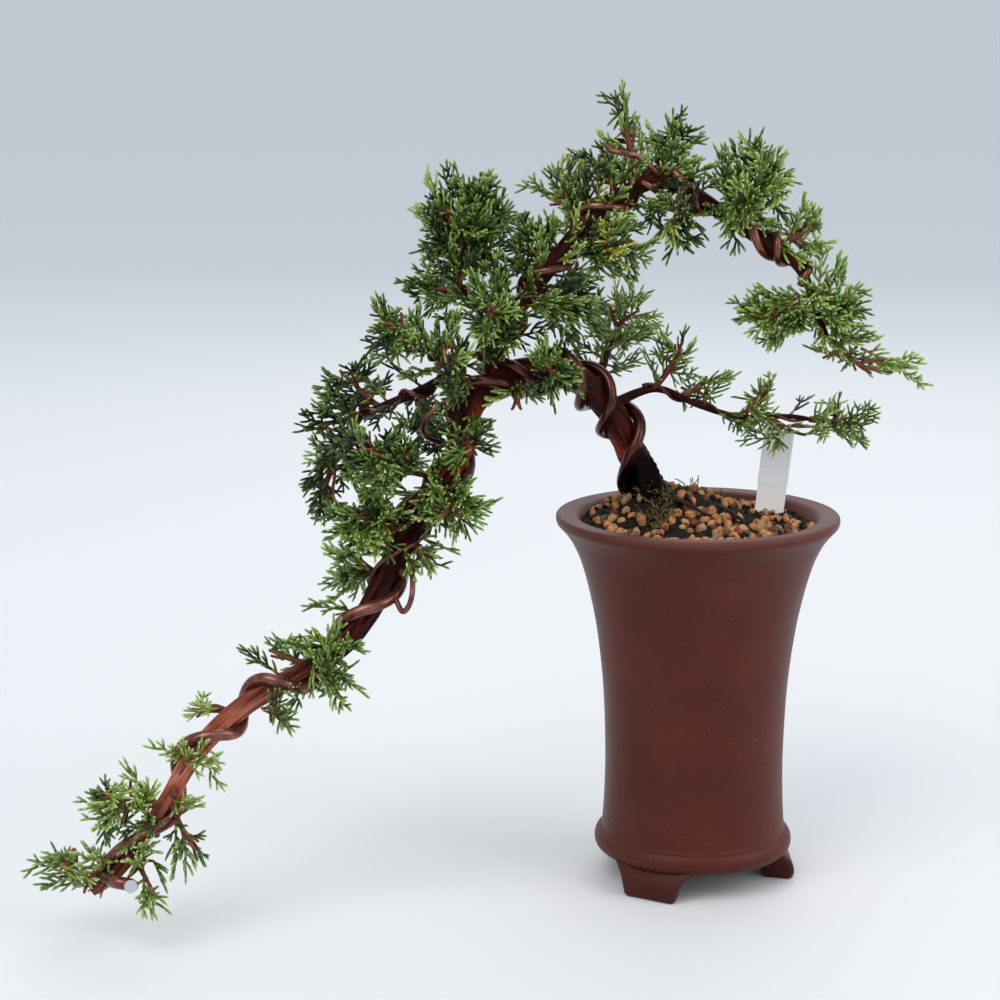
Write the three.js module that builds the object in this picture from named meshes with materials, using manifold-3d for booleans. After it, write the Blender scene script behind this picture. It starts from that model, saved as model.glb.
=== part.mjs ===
// A juniper bonsai in the cascade style, wired, in its tall footed pot.
// Millimetres, +Z up. Shapes are worked out about the pot's axis, with the feet on Z = 0,
// and the whole tree is then moved so that the origin is the middle of its box, at the bottom.
import * as THREE from 'three';
import { mergeVertices } from 'three/addons/utils/BufferGeometryUtils.js';
import Module from 'manifold-3d';

const wasm = await Module();
wasm.setup();

// Clearances
const GAP = 0.3;
const LEAST_GAP = 0.24;
const WIRE_GAP = 0.9;
const SEARCH = 2;
const WELD = 1e-4;

// Pot: a turned wall with a flared rim, a bead above the feet, and a closed floor.
// Each profile point is a height and the radius there.
const POT_UNDERSIDE = 11.5;
const FLOOR_TOP = 22;
const BEAD_RADIUS = 42.3;
const POT_OUTSIDE = [
  [POT_UNDERSIDE, 39.8], [13.1, 41.6], [17, BEAD_RADIUS], [20.9, 41.6], [25.5, 40], [36, 38.6],
  [55, 38.2], [83, 39.3], [108, 42.1], [126, 45.7], [138.7, 49.3], [146.5, 52.8], [151.7, 57.4],
  [154.5, 59.5], [157, 60], [159, 58.5],
];
const POT_INSIDE = [
  [159, 52], [153, 47.5], [140, 43], [108, 35.6], [55, 31.7], [FLOOR_TOP, 32],
];
const POT_SIDES = 24;

// Three feet, one toward the front left
const FOOT_COUNT = 3;
const FOOT_FIRST_ANGLE = -120;
const FOOT_TOP_WIDTH = 36;
const FOOT_BOTTOM_WIDTH = 24;
const FOOT_SWELL = 2.5;
const FOOT_HOLLOW = 1.5;
const FOOT_INSET = 1;
const FOOT_TRIM = 1;
const FOOT_TOP = 14;
const FOOT_INNER_RADIUS = 31;
const FOOT_OUTER_RADIUS = 44.5;

// Soil, mounded up to the foot of the trunk
const SOIL_EDGE = 154.5;
const SOIL_RADIUS = 48;
const MOUND_RISE = 17.5;
const MOUND_SPREAD = 17;
const MOUND_MIDDLE = [-16.5, 9];
const GROUND = 166;
const SOIL_RINGS = 7;

// Blank plant label standing in the soil
const LABEL_SIZE = [12.5, 1, 46];
const LABEL_PLACE = [34, 20, 170];
const LABEL_LEAN = 6;

// Limbs: a route of [x, y, z, radius] with the thickness at each point of it
const MAIN_LINE = [
  [-18, 9, 157, 10.5], [-22, 8, 172, 6.9], [-30, 6, 189, 5.9], [-38, 3, 204, 5.8], [-50, -1, 216, 5.8],
  [-66, -4, 220, 5.8], [-82, -7, 218, 5.8], [-95, -10, 208, 5.7], [-101, -14, 188, 5.4],
  [-114, -21, 168, 4.8], [-125, -27, 150, 4.4], [-134, -34, 132, 4.1], [-146, -42, 115, 3.7],
  [-164, -50, 103, 3.6], [-188, -60, 91, 3.5], [-207, -68, 73, 3.3], [-218, -72, 55, 2.9],
  [-230, -77, 38, 2.6], [-239, -81, 27, 2.2], [-247, -83, 21, 1.5],
];
const FORK_AT = 6.6;
const KNEE_AT = 11;
const APEX_LINE = [
  [-88, -7, 212, 4.2], [-86, -8, 226, 3.8], [-77, -9, 246, 3.5], [-62, -8, 265, 3.4],
  [-46, -5, 284, 3.4], [-30, -4, 295, 3.3], [-16, -2, 299, 3.2], [0, -3, 291, 3.2],
  [18, -6, 279, 3], [37, -9, 267, 2.6], [44, -12, 254, 1.5], [48, -14, 242, 1.2], [53, -16, 232, 0.9],
];
const CREST_AT = 5.6;
const RIGHT_BOUGH = [
  [-38, 3, 204, 2], [-25, 5, 210, 1.7], [-15, 6, 211, 1.5], [1, 7, 204, 1.3], [18, 8, 199, 1.2],
  [39, 9, 199, 1], [52, 9, 197, 0.8],
];
const LEFT_BOUGH = [
  [-93, -8, 212, 2.4], [-104, -3, 217, 2.2], [-117, 3, 211, 2], [-134, 8, 203, 1.7],
  [-148, 11, 196, 1.3],
];
const BACK_BOUGH = [
  [-44, 1, 210, 2.2], [-42, 12, 214, 2], [-39, 24, 221, 1.8], [-36, 34, 228, 1.4],
];
const CROWN_TWIG = [
  [-80, -9, 240, 1.9], [-88, -4, 245, 1.7], [-96, 1, 251, 1.5], [-103, 3, 255, 1.2],
];
const SHOULDER_TWIG = [
  [-95, -10, 210, 1.7], [-102, -15, 220, 1.5], [-108, -17, 226, 1.4], [-114, -19, 232, 1.1],
];
const LINE_STEPS = 8;
const LINE_TENSION = 0.5;
const RING_EVERY = 4;
const SIDES = { trunk: 8, cascade: 7, apex: 6, bough: 5 };

// Training wire, wound along the main line and round the rising apex
const THICK_WIRE = {
  radius: 2.6, pitch: 47, turnAt: 11.1, from: 0.4, to: 18.4, footPitch: 38, footEnd: 4,
};
const THIN_WIRE = {
  radius: 1.8, pitch: 35, turnAt: 2.9, from: 0.9, to: 9.2, footPitch: 35, footEnd: 1,
};
const WIRE_SIDES = 5;
const WIRE_STEPS_A_TURN = 8;

// Foliage: each mass hangs on one limb and fills its own egg-shaped space
const STEM_RADIUS = 1.3;
const STEM_TIP_RADIUS = 0.9;
const STEM_SIDES = 3;
const STEM_STEPS = 6;
const STEM_SET_BACK = 0.35;
const STEM_SWEEP = 0.12;
const STEM_OVERRUN = 0.15;
const SPRAY_THICKNESS = 2.2;
const SPRAY_SHARE = 0.22;
const SPRAY_POWER = 0.6;
const SEED = 11;
const TEETH = 5;
const NOTCH = 0.55;
const FAN_HALF_ANGLE = THREE.MathUtils.degToRad(68);
const FAN_TAPER = 0.3;
const STALK_SHARE = 0.22;
const SPRAY_REACHES = [1.08, 0.95, 0.82, 0.68];
const ROLLS = 8;
const MOST_CROSSED = 0.3;
const FIRST_ROOT = 0.35;
const LAST_ROOT = 0.97;
const GOLDEN_ANGLE = Math.PI * (3 - Math.sqrt(5));
const MASSES = [
  { name: 'crown_left', limb: 'crown_twig', middle: [-97, 10, 279], half: [22, 22, 23] },
  { name: 'crown_right', limb: 'apex_rise', middle: [-71, -2, 271], half: [11, 14, 15] },
  { name: 'crown_low', limb: 'crown_twig', middle: [-112, 4, 253], half: [12, 11, 9] },
  { name: 'shoulder', limb: 'shoulder_twig', middle: [-125, -22, 240], half: [14, 13, 14] },
  { name: 'fork_front', limb: 'cascade_upper', middle: [-104, -31, 228], half: [10, 12, 18] },
  { name: 'fork_top', limb: 'apex_rise', middle: [-86, -24, 246], half: [12, 12, 21] },
  { name: 'trunk_top', limb: 'trunk', middle: [-62, -25, 223], half: [11, 9, 12] },
  { name: 'trunk_drop', limb: 'trunk', middle: [-76, -23, 211], half: [9, 8, 10] },
  { name: 'left_upper', limb: 'left_bough', middle: [-145, 15, 212], half: [18, 15, 12] },
  { name: 'left_inner', limb: 'left_bough', middle: [-114, 12, 194], half: [12, 13, 14] },
  { name: 'left_outer', limb: 'left_bough', middle: [-157, 10, 196], half: [12, 12, 10] },
  { name: 'left_lower', limb: 'left_bough', middle: [-157, 20, 170], half: [8, 12, 18] },
  { name: 'bend_front', limb: 'cascade_upper', middle: [-131, -44, 191], half: [18, 15, 14] },
  { name: 'bend_right', limb: 'cascade_upper', middle: [-96, -34, 194], half: [9, 10, 9] },
  { name: 'drop_right', limb: 'cascade_upper', middle: [-103, -37, 169], half: [15, 11, 12] },
  { name: 'drop_left', limb: 'cascade_upper', middle: [-136, -40, 164], half: [15, 12, 14] },
  { name: 'knee_top', limb: 'cascade_upper', middle: [-145, -21, 138], half: [11, 12, 11] },
  { name: 'knee_right', limb: 'cascade_upper', middle: [-116, -26, 145], half: [10, 10, 9] },
  { name: 'knee_front', limb: 'cascade_lower', middle: [-153, -58, 107], half: [14, 13, 21] },
  { name: 'run_top', limb: 'cascade_lower', middle: [-172, -43, 108], half: [11, 11, 8] },
  { name: 'run_under', limb: 'cascade_lower', middle: [-175, -66, 91], half: [8, 10, 7] },
  { name: 'run_back', limb: 'cascade_lower', middle: [-204, -56, 89], half: [8, 8, 7] },
  { name: 'run_low', limb: 'cascade_lower', middle: [-208, -81, 75], half: [14, 9, 9.5] },
  { name: 'low_left', limb: 'cascade_lower', middle: [-233, -86, 59], half: [16, 11, 19] },
  { name: 'low_drop', limb: 'cascade_lower', middle: [-208, -84, 45], half: [9, 10, 14] },
  { name: 'tip_left', limb: 'cascade_lower', middle: [-254, -80, 30], half: [17, 12, 14] },
  { name: 'tip_right', limb: 'cascade_lower', middle: [-224, -92, 31], half: [10, 11, 12] },
  { name: 'rise_left', limb: 'apex_rise', middle: [-56, 3, 291], half: [13, 14, 18] },
  { name: 'rise_low', limb: 'apex_rise', middle: [-55, 4, 247], half: [14, 13, 15] },
  { name: 'peak', limb: 'apex_rise', middle: [-34, 0, 323], half: [8, 8, 16] },
  { name: 'peak_left', limb: 'apex_rise', middle: [-38, 5, 303], half: [12, 12, 9] },
  { name: 'peak_right', limb: 'apex_fall', middle: [-14, 5, 311], half: [15, 12, 14] },
  { name: 'rise_right', limb: 'apex_rise', middle: [-38, -14, 272], half: [15, 14, 14] },
  { name: 'arch_under', limb: 'apex_fall', middle: [-12, -12, 283], half: [18, 13, 13] },
  { name: 'crest', limb: 'apex_fall', middle: [19, -10, 295], half: [17, 15, 24] },
  { name: 'crest_right', limb: 'apex_fall', middle: [43, -9, 279], half: [9, 11, 10] },
  { name: 'fall_right', limb: 'apex_fall', middle: [52, -14, 251], half: [12, 12, 20] },
  { name: 'fall_left', limb: 'apex_fall', middle: [31, -16, 245], half: [14, 14, 13] },
  { name: 'fall_end', limb: 'apex_fall', middle: [63, -21, 226], half: [28, 13, 10] },
  { name: 'back', limb: 'back_bough', middle: [-31, 48, 234], half: [16, 18, 18] },
  { name: 'right_up', limb: 'right_bough', middle: [-10, 0, 226], half: [10, 12, 10] },
  { name: 'right_inner', limb: 'right_bough', middle: [1, 15, 212], half: [10, 11, 8] },
  { name: 'right_mid', limb: 'right_bough', middle: [26, 6, 208], half: [11, 11, 8] },
  { name: 'right_under', limb: 'right_bough', middle: [37, 2, 195], half: [19, 10, 8] },
  { name: 'right_tip', limb: 'right_bough', middle: [63, 9, 196], half: [11, 13, 11] },
];

// Colours and finishes
const FINISH = {
  clay: { color: 0x4e2b25, roughness: 0.62, metalness: 0 },
  soil: { color: 0x8a6242, roughness: 0.95, metalness: 0 },
  bark: { color: 0x6e3020, roughness: 0.85, metalness: 0 },
  wire: { color: 0x5f322d, roughness: 0.38, metalness: 0.8 },
  label: { color: 0xf2f2f0, roughness: 0.4, metalness: 0 },
  foliage: { color: 0x4a7f3f, roughness: 0.6, metalness: 0 },
};

const up = new THREE.Vector3(0, 0, 1);
const front = new THREE.Vector3(0, -1, 0);
const vector = (p) => new THREE.Vector3(p[0], p[1], p[2]);

// A repeatable number from 0 to 1 for each whole number
function chance(n) {
  const value = Math.sin(n * 12.9898 + 4.1414) * 43758.5453;
  return value - Math.floor(value);
}

// A closed geometry as a solid that can be joined and cut
function solidOf(geometry) {
  const bare = geometry.clone();
  bare.deleteAttribute('normal');
  bare.deleteAttribute('uv');
  const merged = mergeVertices(bare, WELD);
  return new wasm.Manifold(new wasm.Mesh({
    numProp: 3,
    vertProperties: new Float32Array(merged.attributes.position.array),
    triVerts: new Uint32Array(merged.index.array),
  }));
}

function geometryOf(solid) {
  const { vertProperties, triVerts } = solid.getMesh();
  const geometry = new THREE.BufferGeometry();
  geometry.setAttribute('position', new THREE.BufferAttribute(vertProperties, 3));
  geometry.setIndex(new THREE.BufferAttribute(triVerts, 1));
  geometry.computeVertexNormals();
  return geometry;
}

// The biggest body left after a cut, so that no loose scrap stays behind
function biggest(solid) {
  return solid.decompose().reduce((a, b) => (b.volume() > a.volume() ? b : a));
}

function box(size, middle) {
  const geometry = new THREE.BoxGeometry(...size);
  geometry.translate(...middle);
  return solidOf(geometry);
}

// A limb's route as closely spaced places, each with its radius, heading and two cross directions
function traceLine(route) {
  const curve = new THREE.CatmullRomCurve3(route.map(vector), false, 'catmullrom', LINE_TENSION);
  const last = route.length - 1;
  const count = last * LINE_STEPS;
  const places = [];
  let run = 0;
  for (let i = 0; i <= count; i += 1) {
    const along = i / LINE_STEPS;
    const before = Math.min(Math.floor(along), last - 1);
    const point = curve.getPoint(i / count);
    if (i > 0) run += point.distanceTo(places[i - 1].point);
    places.push({
      along,
      run,
      point,
      radius: THREE.MathUtils.lerp(route[before][3], route[before + 1][3], along - before),
    });
  }
  const first = new THREE.Vector3().subVectors(places[1].point, places[0].point).normalize();
  let across = front.clone().projectOnPlane(first).normalize();
  places.forEach((place, i) => {
    const a = places[Math.max(i - 1, 0)].point;
    const b = places[Math.min(i + 1, count)].point;
    place.heading = new THREE.Vector3().subVectors(b, a).normalize();
    across = across.clone().projectOnPlane(place.heading).normalize();
    place.across = across;
    place.sideways = new THREE.Vector3().crossVectors(place.heading, across);
  });
  return places;
}

// The part of a line between two places along its route
function stretch(line, from, to) {
  return line.filter((place) => place.along >= from && place.along <= to);
}

// A tapering tube with a ring at every few places, fatter all round by the given allowance
function tube(places, sides, allowance = 0) {
  const rings = places.filter((_, i) => i % RING_EVERY === 0 || i === places.length - 1);
  const steps = rings.length - 1;
  const geometry = new THREE.CylinderGeometry(1, 1, 1, sides, steps);
  const position = geometry.attributes.position;
  for (let i = 0; i < position.count; i += 1) {
    const ring = rings[Math.round((0.5 + position.getY(i)) * steps)];
    const radius = ring.radius + allowance;
    const point = ring.point.clone()
      .addScaledVector(ring.across, position.getX(i) * radius)
      .addScaledVector(ring.sideways, -position.getZ(i) * radius);
    position.setXYZ(i, point.x, point.y, point.z);
  }
  return solidOf(geometry);
}

// A profile of heights and radii turned about the pot's axis, closed on the axis at both ends
function turnedShape(profile) {
  const points = profile.map(([height, radius]) => new THREE.Vector2(radius, height));
  const bottom = new THREE.Vector2(0, points[0].y);
  const top = new THREE.Vector2(0, points.at(-1).y);
  const geometry = new THREE.LatheGeometry([bottom, ...points, top], POT_SIDES);
  geometry.rotateX(Math.PI / 2);
  return geometry;
}

// The pot's wall, floor and feet, in one fired piece
function makePot() {
  let pot = solidOf(turnedShape([...POT_OUTSIDE, ...POT_INSIDE]));
  for (let i = 0; i < FOOT_COUNT; i += 1) {
    pot = pot.add(makeFoot(FOOT_FIRST_ANGLE + (i * 360) / FOOT_COUNT));
  }
  return pot;
}

// A foot is a sector of a ring, narrower at the bottom
function makeFoot(angle) {
  const ring = new THREE.LatheGeometry([
    new THREE.Vector2(FOOT_INNER_RADIUS, 0),
    new THREE.Vector2(FOOT_OUTER_RADIUS, 0),
    new THREE.Vector2(FOOT_OUTER_RADIUS - FOOT_HOLLOW, FOOT_TOP / 2),
    new THREE.Vector2(BEAD_RADIUS - FOOT_INSET, FOOT_TOP),
    new THREE.Vector2(FOOT_INNER_RADIUS, FOOT_TOP),
    new THREE.Vector2(FOOT_INNER_RADIUS, 0),
  ], POT_SIDES);
  ring.rotateX(Math.PI / 2);
  const outline = new THREE.Shape([
    new THREE.Vector2(-FOOT_BOTTOM_WIDTH / 2, -FOOT_TRIM),
    new THREE.Vector2(FOOT_BOTTOM_WIDTH / 2, -FOOT_TRIM),
    new THREE.Vector2(FOOT_BOTTOM_WIDTH / 2 + FOOT_SWELL, FOOT_TOP / 2),
    new THREE.Vector2(FOOT_TOP_WIDTH / 2, FOOT_TOP + FOOT_TRIM),
    new THREE.Vector2(-FOOT_TOP_WIDTH / 2, FOOT_TOP + FOOT_TRIM),
    new THREE.Vector2(-FOOT_BOTTOM_WIDTH / 2 - FOOT_SWELL, FOOT_TOP / 2),
  ]);
  const wedge = new THREE.ExtrudeGeometry(outline, {
    depth: 2 * FOOT_OUTER_RADIUS,
    bevelEnabled: false,
  });
  wedge.rotateX(Math.PI / 2);
  wedge.rotateZ(THREE.MathUtils.degToRad(angle + 90));
  return solidOf(ring).intersect(solidOf(wedge));
}

// The height of the soil over a place in the pot
function soilHeight(x, y) {
  const away = Math.hypot(x - MOUND_MIDDLE[0], y - MOUND_MIDDLE[1]);
  const mound = SOIL_EDGE + MOUND_RISE * Math.exp(-(away ** 2) / (2 * MOUND_SPREAD ** 2));
  return Math.min(mound, GROUND);
}

// Soil fills the pot to just clear of its wall, and its rings of top points rise to the mound
function makeSoil() {
  const wall = POT_INSIDE.filter(([height]) => height < SOIL_EDGE).reverse();
  const profile = wall.map(([height, radius]) => [height, radius - GAP]);
  profile[0][0] += GAP;
  for (let i = SOIL_RINGS; i > 0; i -= 1) {
    profile.push([SOIL_EDGE, (SOIL_RADIUS * i) / SOIL_RINGS]);
  }
  const geometry = turnedShape(profile);
  const position = geometry.attributes.position;
  for (let i = 0; i < position.count; i += 1) {
    if (position.getZ(i) < SOIL_EDGE - GAP) continue;
    position.setZ(i, soilHeight(position.getX(i), position.getY(i)));
  }
  return solidOf(geometry).subtract(labelSolid(GAP));
}

function labelSolid(allowance) {
  const geometry = new THREE.BoxGeometry(...LABEL_SIZE.map((side) => side + 2 * allowance));
  geometry.rotateY(THREE.MathUtils.degToRad(LABEL_LEAN));
  geometry.translate(...LABEL_PLACE);
  return solidOf(geometry);
}

// A wire wound along a line, turning once for each pitch, and more tightly below its foot's end
class Winding extends THREE.Curve {
  constructor(line, wire) {
    super();
    this.line = line;
    this.wire = wire;
    this.start = this.runAt(wire.from);
    this.end = this.runAt(wire.to);
    this.front = this.runAt(wire.turnAt);
    this.footEnd = this.runAt(wire.footEnd);
  }

  runAt(along) {
    return this.line[Math.round(along * LINE_STEPS)].run;
  }

  turns() {
    return (this.end - this.start) / this.wire.pitch;
  }

  getPoint(t, target = new THREE.Vector3()) {
    const run = THREE.MathUtils.lerp(this.start, this.end, t);
    const next = Math.max(this.line.findIndex((place) => place.run >= run), 1);
    const [a, b] = [this.line[next - 1], this.line[next]];
    const part = THREE.MathUtils.clamp((run - a.run) / (b.run - a.run), 0, 1);
    const above = Math.max(run, this.footEnd) - this.front;
    const below = Math.min(run - this.footEnd, 0);
    const turn = 2 * Math.PI * (above / this.wire.pitch + below / this.wire.footPitch);
    const reach = THREE.MathUtils.lerp(a.radius, b.radius, part) + this.wire.radius + WIRE_GAP;
    const across = a.across.clone().lerp(b.across, part);
    const sideways = a.sideways.clone().lerp(b.sideways, part);
    return target.copy(a.point).lerp(b.point, part)
      .addScaledVector(across, Math.cos(turn) * reach)
      .addScaledVector(sideways, Math.sin(turn) * reach);
  }
}

function makeWire(line, wire) {
  const path = new Winding(line, wire);
  const section = new THREE.CircleGeometry(wire.radius, WIRE_SIDES).attributes.position;
  const outline = [];
  for (let i = 1; i <= WIRE_SIDES; i += 1) {
    outline.push(new THREE.Vector2(section.getX(i), section.getY(i)));
  }
  const geometry = new THREE.ExtrudeGeometry(new THREE.Shape(outline), {
    steps: Math.round(path.turns() * WIRE_STEPS_A_TURN),
    extrudePath: path,
  });
  return solidOf(geometry);
}

// One spray: a thin lens whose rim is drawn out into a fan of pointed teeth from one root
function sprayFan(length) {
  const rimPoints = 2 * TEETH;
  const stalk = STALK_SHARE * length;
  const lens = new THREE.LatheGeometry([
    new THREE.Vector2(0, -SPRAY_THICKNESS / 2),
    new THREE.Vector2(1, 0),
    new THREE.Vector2(0, SPRAY_THICKNESS / 2),
  ], rimPoints);
  const position = lens.attributes.position;
  for (let i = 0; i < position.count; i += 1) {
    const place = Math.floor(i / 3) % rimPoints;
    const isRim = i % 3 === 1;
    const side = THREE.MathUtils.mapLinear(place, 1, rimPoints - 1, 1, -1);
    const angle = side * FAN_HALF_ANGLE;
    const tooth = (length - stalk) * (1 - FAN_TAPER * side * side);
    const reach = place % 2 === 1 ? tooth : tooth * NOTCH;
    if (!isRim) position.setXYZ(i, 0, stalk, position.getY(i));
    else if (place === 0) position.setXYZ(i, 0, -STEM_TIP_RADIUS, 0);
    else position.setXYZ(i, reach * Math.sin(angle), stalk + reach * Math.cos(angle), 0);
  }
  return lens;
}

// The fan set on its root, pointing to its tip and rolled about its own length
function placeSpray(root, tip, roll) {
  const heading = new THREE.Vector3().subVectors(tip, root);
  const length = heading.length();
  heading.normalize();
  const flat = new THREE.Vector3().crossVectors(heading, up).normalize();
  const broad = new THREE.Vector3().crossVectors(flat, heading);
  const basis = new THREE.Matrix4().makeBasis(flat, heading, broad);
  const fan = sprayFan(length);
  fan.rotateY(roll);
  fan.applyMatrix4(basis);
  fan.translate(root.x, root.y, root.z);
  return solidOf(fan);
}

function clear(solid, others) {
  return others.every((other) => solid.minGap(other, SEARCH) >= LEAST_GAP);
}

// The curve of a stem: out of its limb, swept a little forward, and on past the middle of its mass
function stemCurve(place, middle) {
  const ahead = new THREE.Vector3().subVectors(middle, place.point);
  const bend = place.point.clone()
    .addScaledVector(ahead, 0.5)
    .addScaledVector(place.heading, STEM_SWEEP * ahead.length());
  const end = middle.clone().addScaledVector(ahead, STEM_OVERRUN);
  return new THREE.QuadraticBezierCurve3(place.point, bend, end);
}

function stemTube(curve) {
  const places = [];
  let across = front;
  for (let i = 0; i <= STEM_STEPS; i += 1) {
    const heading = curve.getTangent(i / STEM_STEPS);
    across = across.clone().projectOnPlane(heading).normalize();
    places.push({
      point: curve.getPoint(i / STEM_STEPS),
      radius: THREE.MathUtils.lerp(STEM_RADIUS, STEM_TIP_RADIUS, i / STEM_STEPS),
      across,
      sideways: new THREE.Vector3().crossVectors(heading, across),
    });
  }
  return tube(places, STEM_SIDES);
}

// A stem leaves its limb near the middle of its mass, at the closest place that is clear of the rest
function growStem(mass, limb, others) {
  const middle = vector(mass.middle);
  const away = limb.places.map((place) => place.point.distanceTo(middle));
  const wanted = away.indexOf(Math.min(...away)) - STEM_SET_BACK * LINE_STEPS;
  const ordered = limb.places
    .map((place, i) => ({ place, slip: Math.abs(i - wanted) }))
    .sort((a, b) => a.slip - b.slip);
  for (const { place } of ordered) {
    const curve = stemCurve(place, middle);
    const solid = biggest(stemTube(curve).subtract(limb.sleeve));
    if (clear(solid, others)) return { curve, solid };
  }
  throw new Error(`no room for the stem of ${mass.name}`);
}

// Directions spread evenly over a sphere, from the leading end of the mass to its back
function evenDirections(count, spin, ahead) {
  const directions = [ahead];
  for (let k = 0; k < count; k += 1) {
    const rise = 1 - (2 * (k + 0.5)) / count;
    const turn = spin + k * GOLDEN_ANGLE;
    const level = Math.sqrt(1 - rise * rise);
    directions.push(new THREE.Vector3(level * Math.cos(turn), level * Math.sin(turn), rise));
  }
  return directions.sort((a, b) => b.dot(ahead) - a.dot(ahead));
}

// A mass: its stem, a leading spray, and sprays whose tips are spread evenly over its space
function growMass(mass, index, limb, others) {
  const { curve, solid } = growStem(mass, limb, others);
  const half = vector(mass.half);
  const area = half.x * half.y + half.y * half.z + half.z * half.x;
  const count = Math.round(SPRAY_SHARE * (area / 3) ** SPRAY_POWER);
  const directions = evenDirections(count, 2 * Math.PI * chance(SEED + index), curve.getTangent(1));
  const sprays = [];
  directions.forEach((direction, k) => {
    const root = curve.getPoint(THREE.MathUtils.lerp(LAST_ROOT, FIRST_ROOT, k / count));
    const spray = findRoom(mass, root, direction, SEED + index * 100 + k, others, sprays);
    if (spray) sprays.push(spray);
  });
  return biggest(sprays.reduce((grown, spray) => grown.add(spray), solid));
}

// The longest spray toward a direction that touches nothing else and crosses none of its own mass
function findRoom(mass, root, direction, seed, others, own) {
  const reach = direction.clone().multiply(vector(mass.half));
  for (const share of SPRAY_REACHES) {
    const tip = vector(mass.middle).addScaledVector(reach, share);
    for (let i = 0; i < ROLLS; i += 1) {
      const spray = placeSpray(root, tip, Math.PI * (chance(seed) + i / ROLLS));
      const crossed = own.reduce((sum, other) => sum + spray.intersect(other).volume(), 0);
      if (crossed < MOST_CROSSED && clear(spray, others)) return spray;
    }
  }
  return null;
}

function addMesh(group, name, solid, finish) {
  const mesh = new THREE.Mesh(geometryOf(solid), new THREE.MeshStandardMaterial(FINISH[finish]));
  mesh.name = name;
  group.add(mesh);
}

// The room a limb takes up with its clearance, past its end too
function makeSleeve(places, sides) {
  const end = places.at(-1);
  const past = { ...end, point: end.point.clone().addScaledVector(end.heading, GAP) };
  return tube([...places, past], sides, GAP);
}

// A limb, cut clear of the limb that carries it
function makeLimb(places, sides, parent) {
  const whole = tube(places, sides);
  return {
    places,
    solid: parent ? biggest(whole.subtract(parent.sleeve)) : whole,
    sleeve: makeSleeve(places, sides),
  };
}

const mainLine = traceLine(MAIN_LINE);
const apexLine = traceLine(APEX_LINE);
const belowGround = box([SOIL_RADIUS * 2, SOIL_RADIUS * 2, GROUND], [0, 0, GROUND / 2 + GAP]);

const cut = 1 / LINE_STEPS;
const limbs = {};
limbs.trunk = makeLimb(stretch(mainLine, 0, FORK_AT), SIDES.trunk);
limbs.trunk.solid = limbs.trunk.solid.subtract(belowGround);
limbs.cascade_upper = makeLimb(stretch(mainLine, FORK_AT - cut, KNEE_AT), SIDES.cascade, limbs.trunk);
limbs.cascade_lower = makeLimb(
  stretch(mainLine, KNEE_AT - cut, Infinity),
  SIDES.cascade,
  limbs.cascade_upper,
);
limbs.apex_rise = makeLimb(stretch(apexLine, 0, CREST_AT), SIDES.apex, limbs.trunk);
limbs.apex_fall = makeLimb(stretch(apexLine, CREST_AT - cut, Infinity), SIDES.apex, limbs.apex_rise);
limbs.right_bough = makeLimb(traceLine(RIGHT_BOUGH), SIDES.bough, limbs.trunk);
limbs.left_bough = makeLimb(traceLine(LEFT_BOUGH), SIDES.bough, limbs.cascade_upper);
limbs.back_bough = makeLimb(traceLine(BACK_BOUGH), SIDES.bough, limbs.trunk);
limbs.crown_twig = makeLimb(traceLine(CROWN_TWIG), SIDES.bough, limbs.apex_rise);
limbs.shoulder_twig = makeLimb(traceLine(SHOULDER_TWIG), SIDES.bough, limbs.cascade_upper);

const wires = {
  trunk_wire: makeWire(mainLine, THICK_WIRE).subtract(belowGround),
  apex_wire: makeWire(apexLine, THIN_WIRE),
};
const label = labelSolid(0);
const soil = makeSoil();
const pot = makePot();

const tree = new THREE.Group();
addMesh(tree, 'pot', pot, 'clay');
addMesh(tree, 'soil', soil, 'soil');
addMesh(tree, 'plant_label', label, 'label');
for (const [name, limb] of Object.entries(limbs)) {
  addMesh(tree, name, limb.solid, 'bark');
}
for (const [name, wire] of Object.entries(wires)) {
  addMesh(tree, name, wire, 'wire');
}

const limbSolids = Object.values(limbs).map((limb) => limb.solid);
const standing = [pot, soil, label, ...limbSolids, ...Object.values(wires)];
MASSES.forEach((mass, index) => {
  const grown = growMass(mass, index, limbs[mass.limb], standing);
  standing.push(grown);
  addMesh(tree, `foliage_${mass.name}`, grown, 'foliage');
});

// The origin is the middle of the tree's box, level with the feet
const bonsai = new THREE.Group();
const extent = new THREE.Box3().setFromObject(tree);
const centre = extent.getCenter(new THREE.Vector3());
tree.position.set(-centre.x, -centre.y, -extent.min.z);
bonsai.add(tree);

export default bonsai;
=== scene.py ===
# %% [markdown]
# # A wired juniper bonsai in the cascade style
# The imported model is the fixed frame: it gives the size and the place of every part. This lesson
# dresses it, from the pot upwards: clay, soil, bark, wire, and then the fine foliage, which grows by
# the same rule as the solids do, only carried on to smaller twigs. A little moss and the light come
# last.

# %% The frame
import math

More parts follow.
